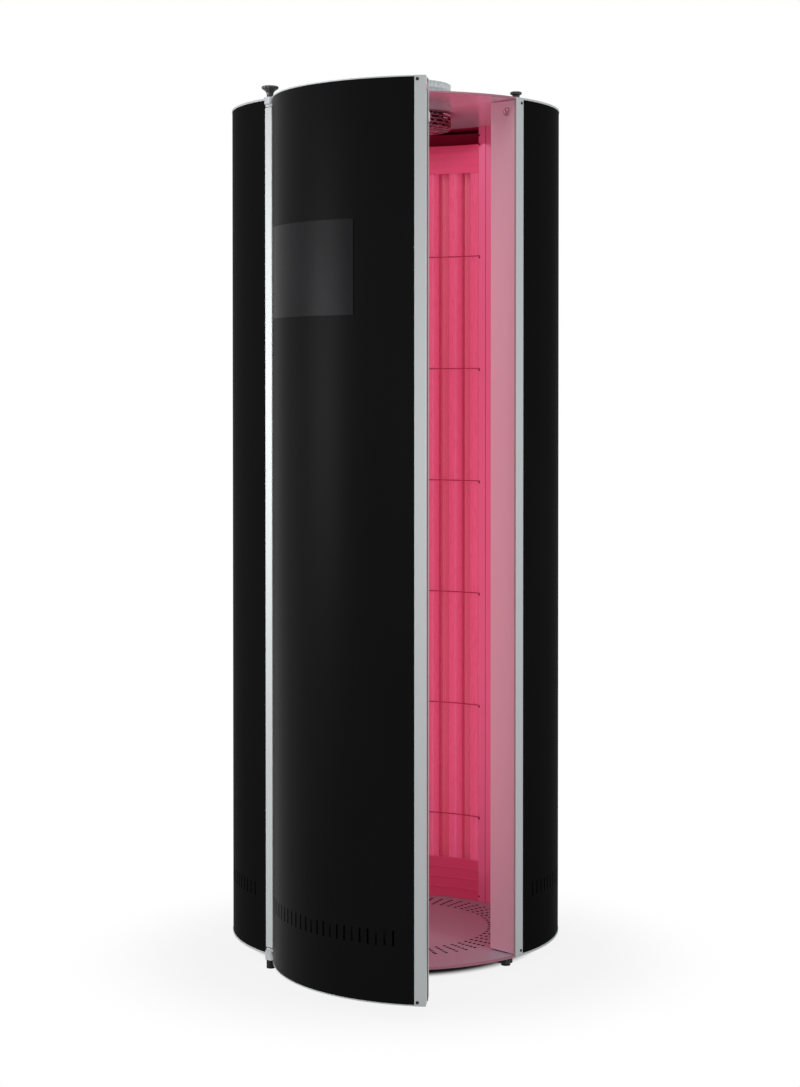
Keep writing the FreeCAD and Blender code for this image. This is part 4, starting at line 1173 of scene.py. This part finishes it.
def makeWorld():
    # even pale room; seen directly, in metal and through glass it is plain white
    world = bpy.data.worlds.new("studioWorld")
    scene.world = world
    world.use_nodes = True
    tree = world.node_tree
    tree.nodes.clear()
    room = addNode(tree, "ShaderNodeBackground", {"Color": white, "Strength": roomLight})
    backdrop = addNode(tree, "ShaderNodeBackground", {"Color": white, "Strength": 1.0})
    mixed = addNode(tree, "ShaderNodeMixShader", links={0: seenDirectly(tree), 1: (room, "Background"),
                                                        2: (backdrop, "Background")})
    addNode(tree, "ShaderNodeOutputWorld", links={"Surface": (mixed, "Shader")})


# distances in metres
floorSettings = {
    "paint": "#8c8c8c",
    "roughness": 0.9,
    "size": 60,
    "drop": 0.0005,         # below the feet
    "fades": (
        # the floor's own shading beside the booth is mostly hidden, and fades to plain white further out
        {"centre": (0, -0.15, 0), "from": 0.45, "to": 0.9, "white": 0.88},
        # it shows in full under the booth
        {"centre": cabinAxis, "from": 0.35, "to": 0.4, "white": 0.0},
    ),
}


def makeFloor(settings):
    bpy.ops.mesh.primitive_plane_add(size=settings["size"], location=(0, 0, -settings["drop"]))
    floor = bpy.context.object
    floor.name = "studioFloor"
    material = bpy.data.materials.new("studioFloorPaint")
    material.use_nodes = True
    tree = material.node_tree
    shader = tree.nodes["Principled BSDF"]
    shader.inputs["Roughness"].default_value = settings["roughness"]
    shader.inputs["Specular IOR Level"].default_value = 0.0
    shader.inputs["Base Color"].default_value = toLinear(settings["paint"])
    share = seenDirectly(tree)
    for fade in settings["fades"]:
        flat = flatPlace(tree, fade["centre"])[0]
        reach = addNode(tree, "ShaderNodeVectorMath", {"operation": "LENGTH"}, {0: (flat, "Vector")})
        ramp = addNode(tree, "ShaderNodeMapRange",
                       {"interpolation_type": "SMOOTHSTEP", "From Min": fade["from"], "From Max": fade["to"],
                        "To Min": fade["white"]}, {"Value": (reach, "Value")})
        share = addNode(tree, "ShaderNodeMath", {"operation": "MULTIPLY"},
                        {0: share, 1: (ramp, "Result")}), "Value"
    backdrop = addNode(tree, "ShaderNodeEmission", {"Color": white, "Strength": 1.0})
    mixed = addNode(tree, "ShaderNodeMixShader", links={0: share, 1: (shader, "BSDF"),
                                                        2: (backdrop, "Emission")})
    tree.links.new(mixed.outputs["Shader"], tree.nodes["Material Output"].inputs["Surface"])
    floor.data.materials.append(material)


# place, aim, width and height in metres, watts, and the spread of a box behind a grid in degrees
softBoxes = {
    "frontBox": {"place": (-1.0, -3.2, 1.25), "aim": (-0.3, -0.7, 1.2), "size": (1.1, 0.9), "power": 1.6,
                 "spread": 84},
    "leftBox": {"place": (-3.7, -1.1, 1.5), "aim": (-0.2, -0.3, 1.5), "size": (1.4, 1.2), "power": 86},
    "rightBox": {"place": (2.3, -2.6, 1.35), "aim": (0.3, -0.3, 1.35), "size": (0.9, 0.9), "power": 8.2,
                 "spread": 84},
    "topBox": {"place": (0.4, -0.8, 4.6), "aim": (0, 0, 2.2), "size": (2.0, 2.0), "power": 60},
}

# soft light inside the cabin, so that its enamels show: a tall strip and one box at each end
cabinBoxes = {
    "cabinStrip": {"place": (-0.06, -0.18, 1.15), "aim": (0.14, 0.1, 1.15), "size": (0.12, 1.9),
                   "power": 1.6},
    "upwardBox": {"place": (0.0, 0.0, 0.1), "aim": (0, 0.0001, 2.2), "size": (0.5, 0.5), "power": 0.38,
                  "spread": 90},
    "downwardBox": {"place": (0.0, 0.0, 2.178), "aim": (0, 0.0001, 0), "size": (0.5, 0.5), "power": 0.8},
}
openSpread = 180       # degrees, where a box has no grid


def makeLights(boxes, hidden=False):
    for name, box in boxes.items():
        data = bpy.data.lights.new(name, "AREA")
        data.shape = "RECTANGLE"
        data.size, data.size_y = box["size"]
        data.energy = box["power"]
        data.spread = math.radians(box.get("spread", openSpread))
        light = bpy.data.objects.new(name, data)
        light.location = box["place"]
        aim = Vector(box["aim"]) - Vector(box["place"])
        light.rotation_euler = aim.to_track_quat("-Z", "Y").to_euler()
        light.visible_camera = False
        light.visible_glossy = not hidden
        scene.collection.objects.link(light)


makeWorld()
makeFloor(floorSettings)
makeLights(softBoxes)
makeLights(cabinBoxes, hidden=True)
print("booth: studio ready")
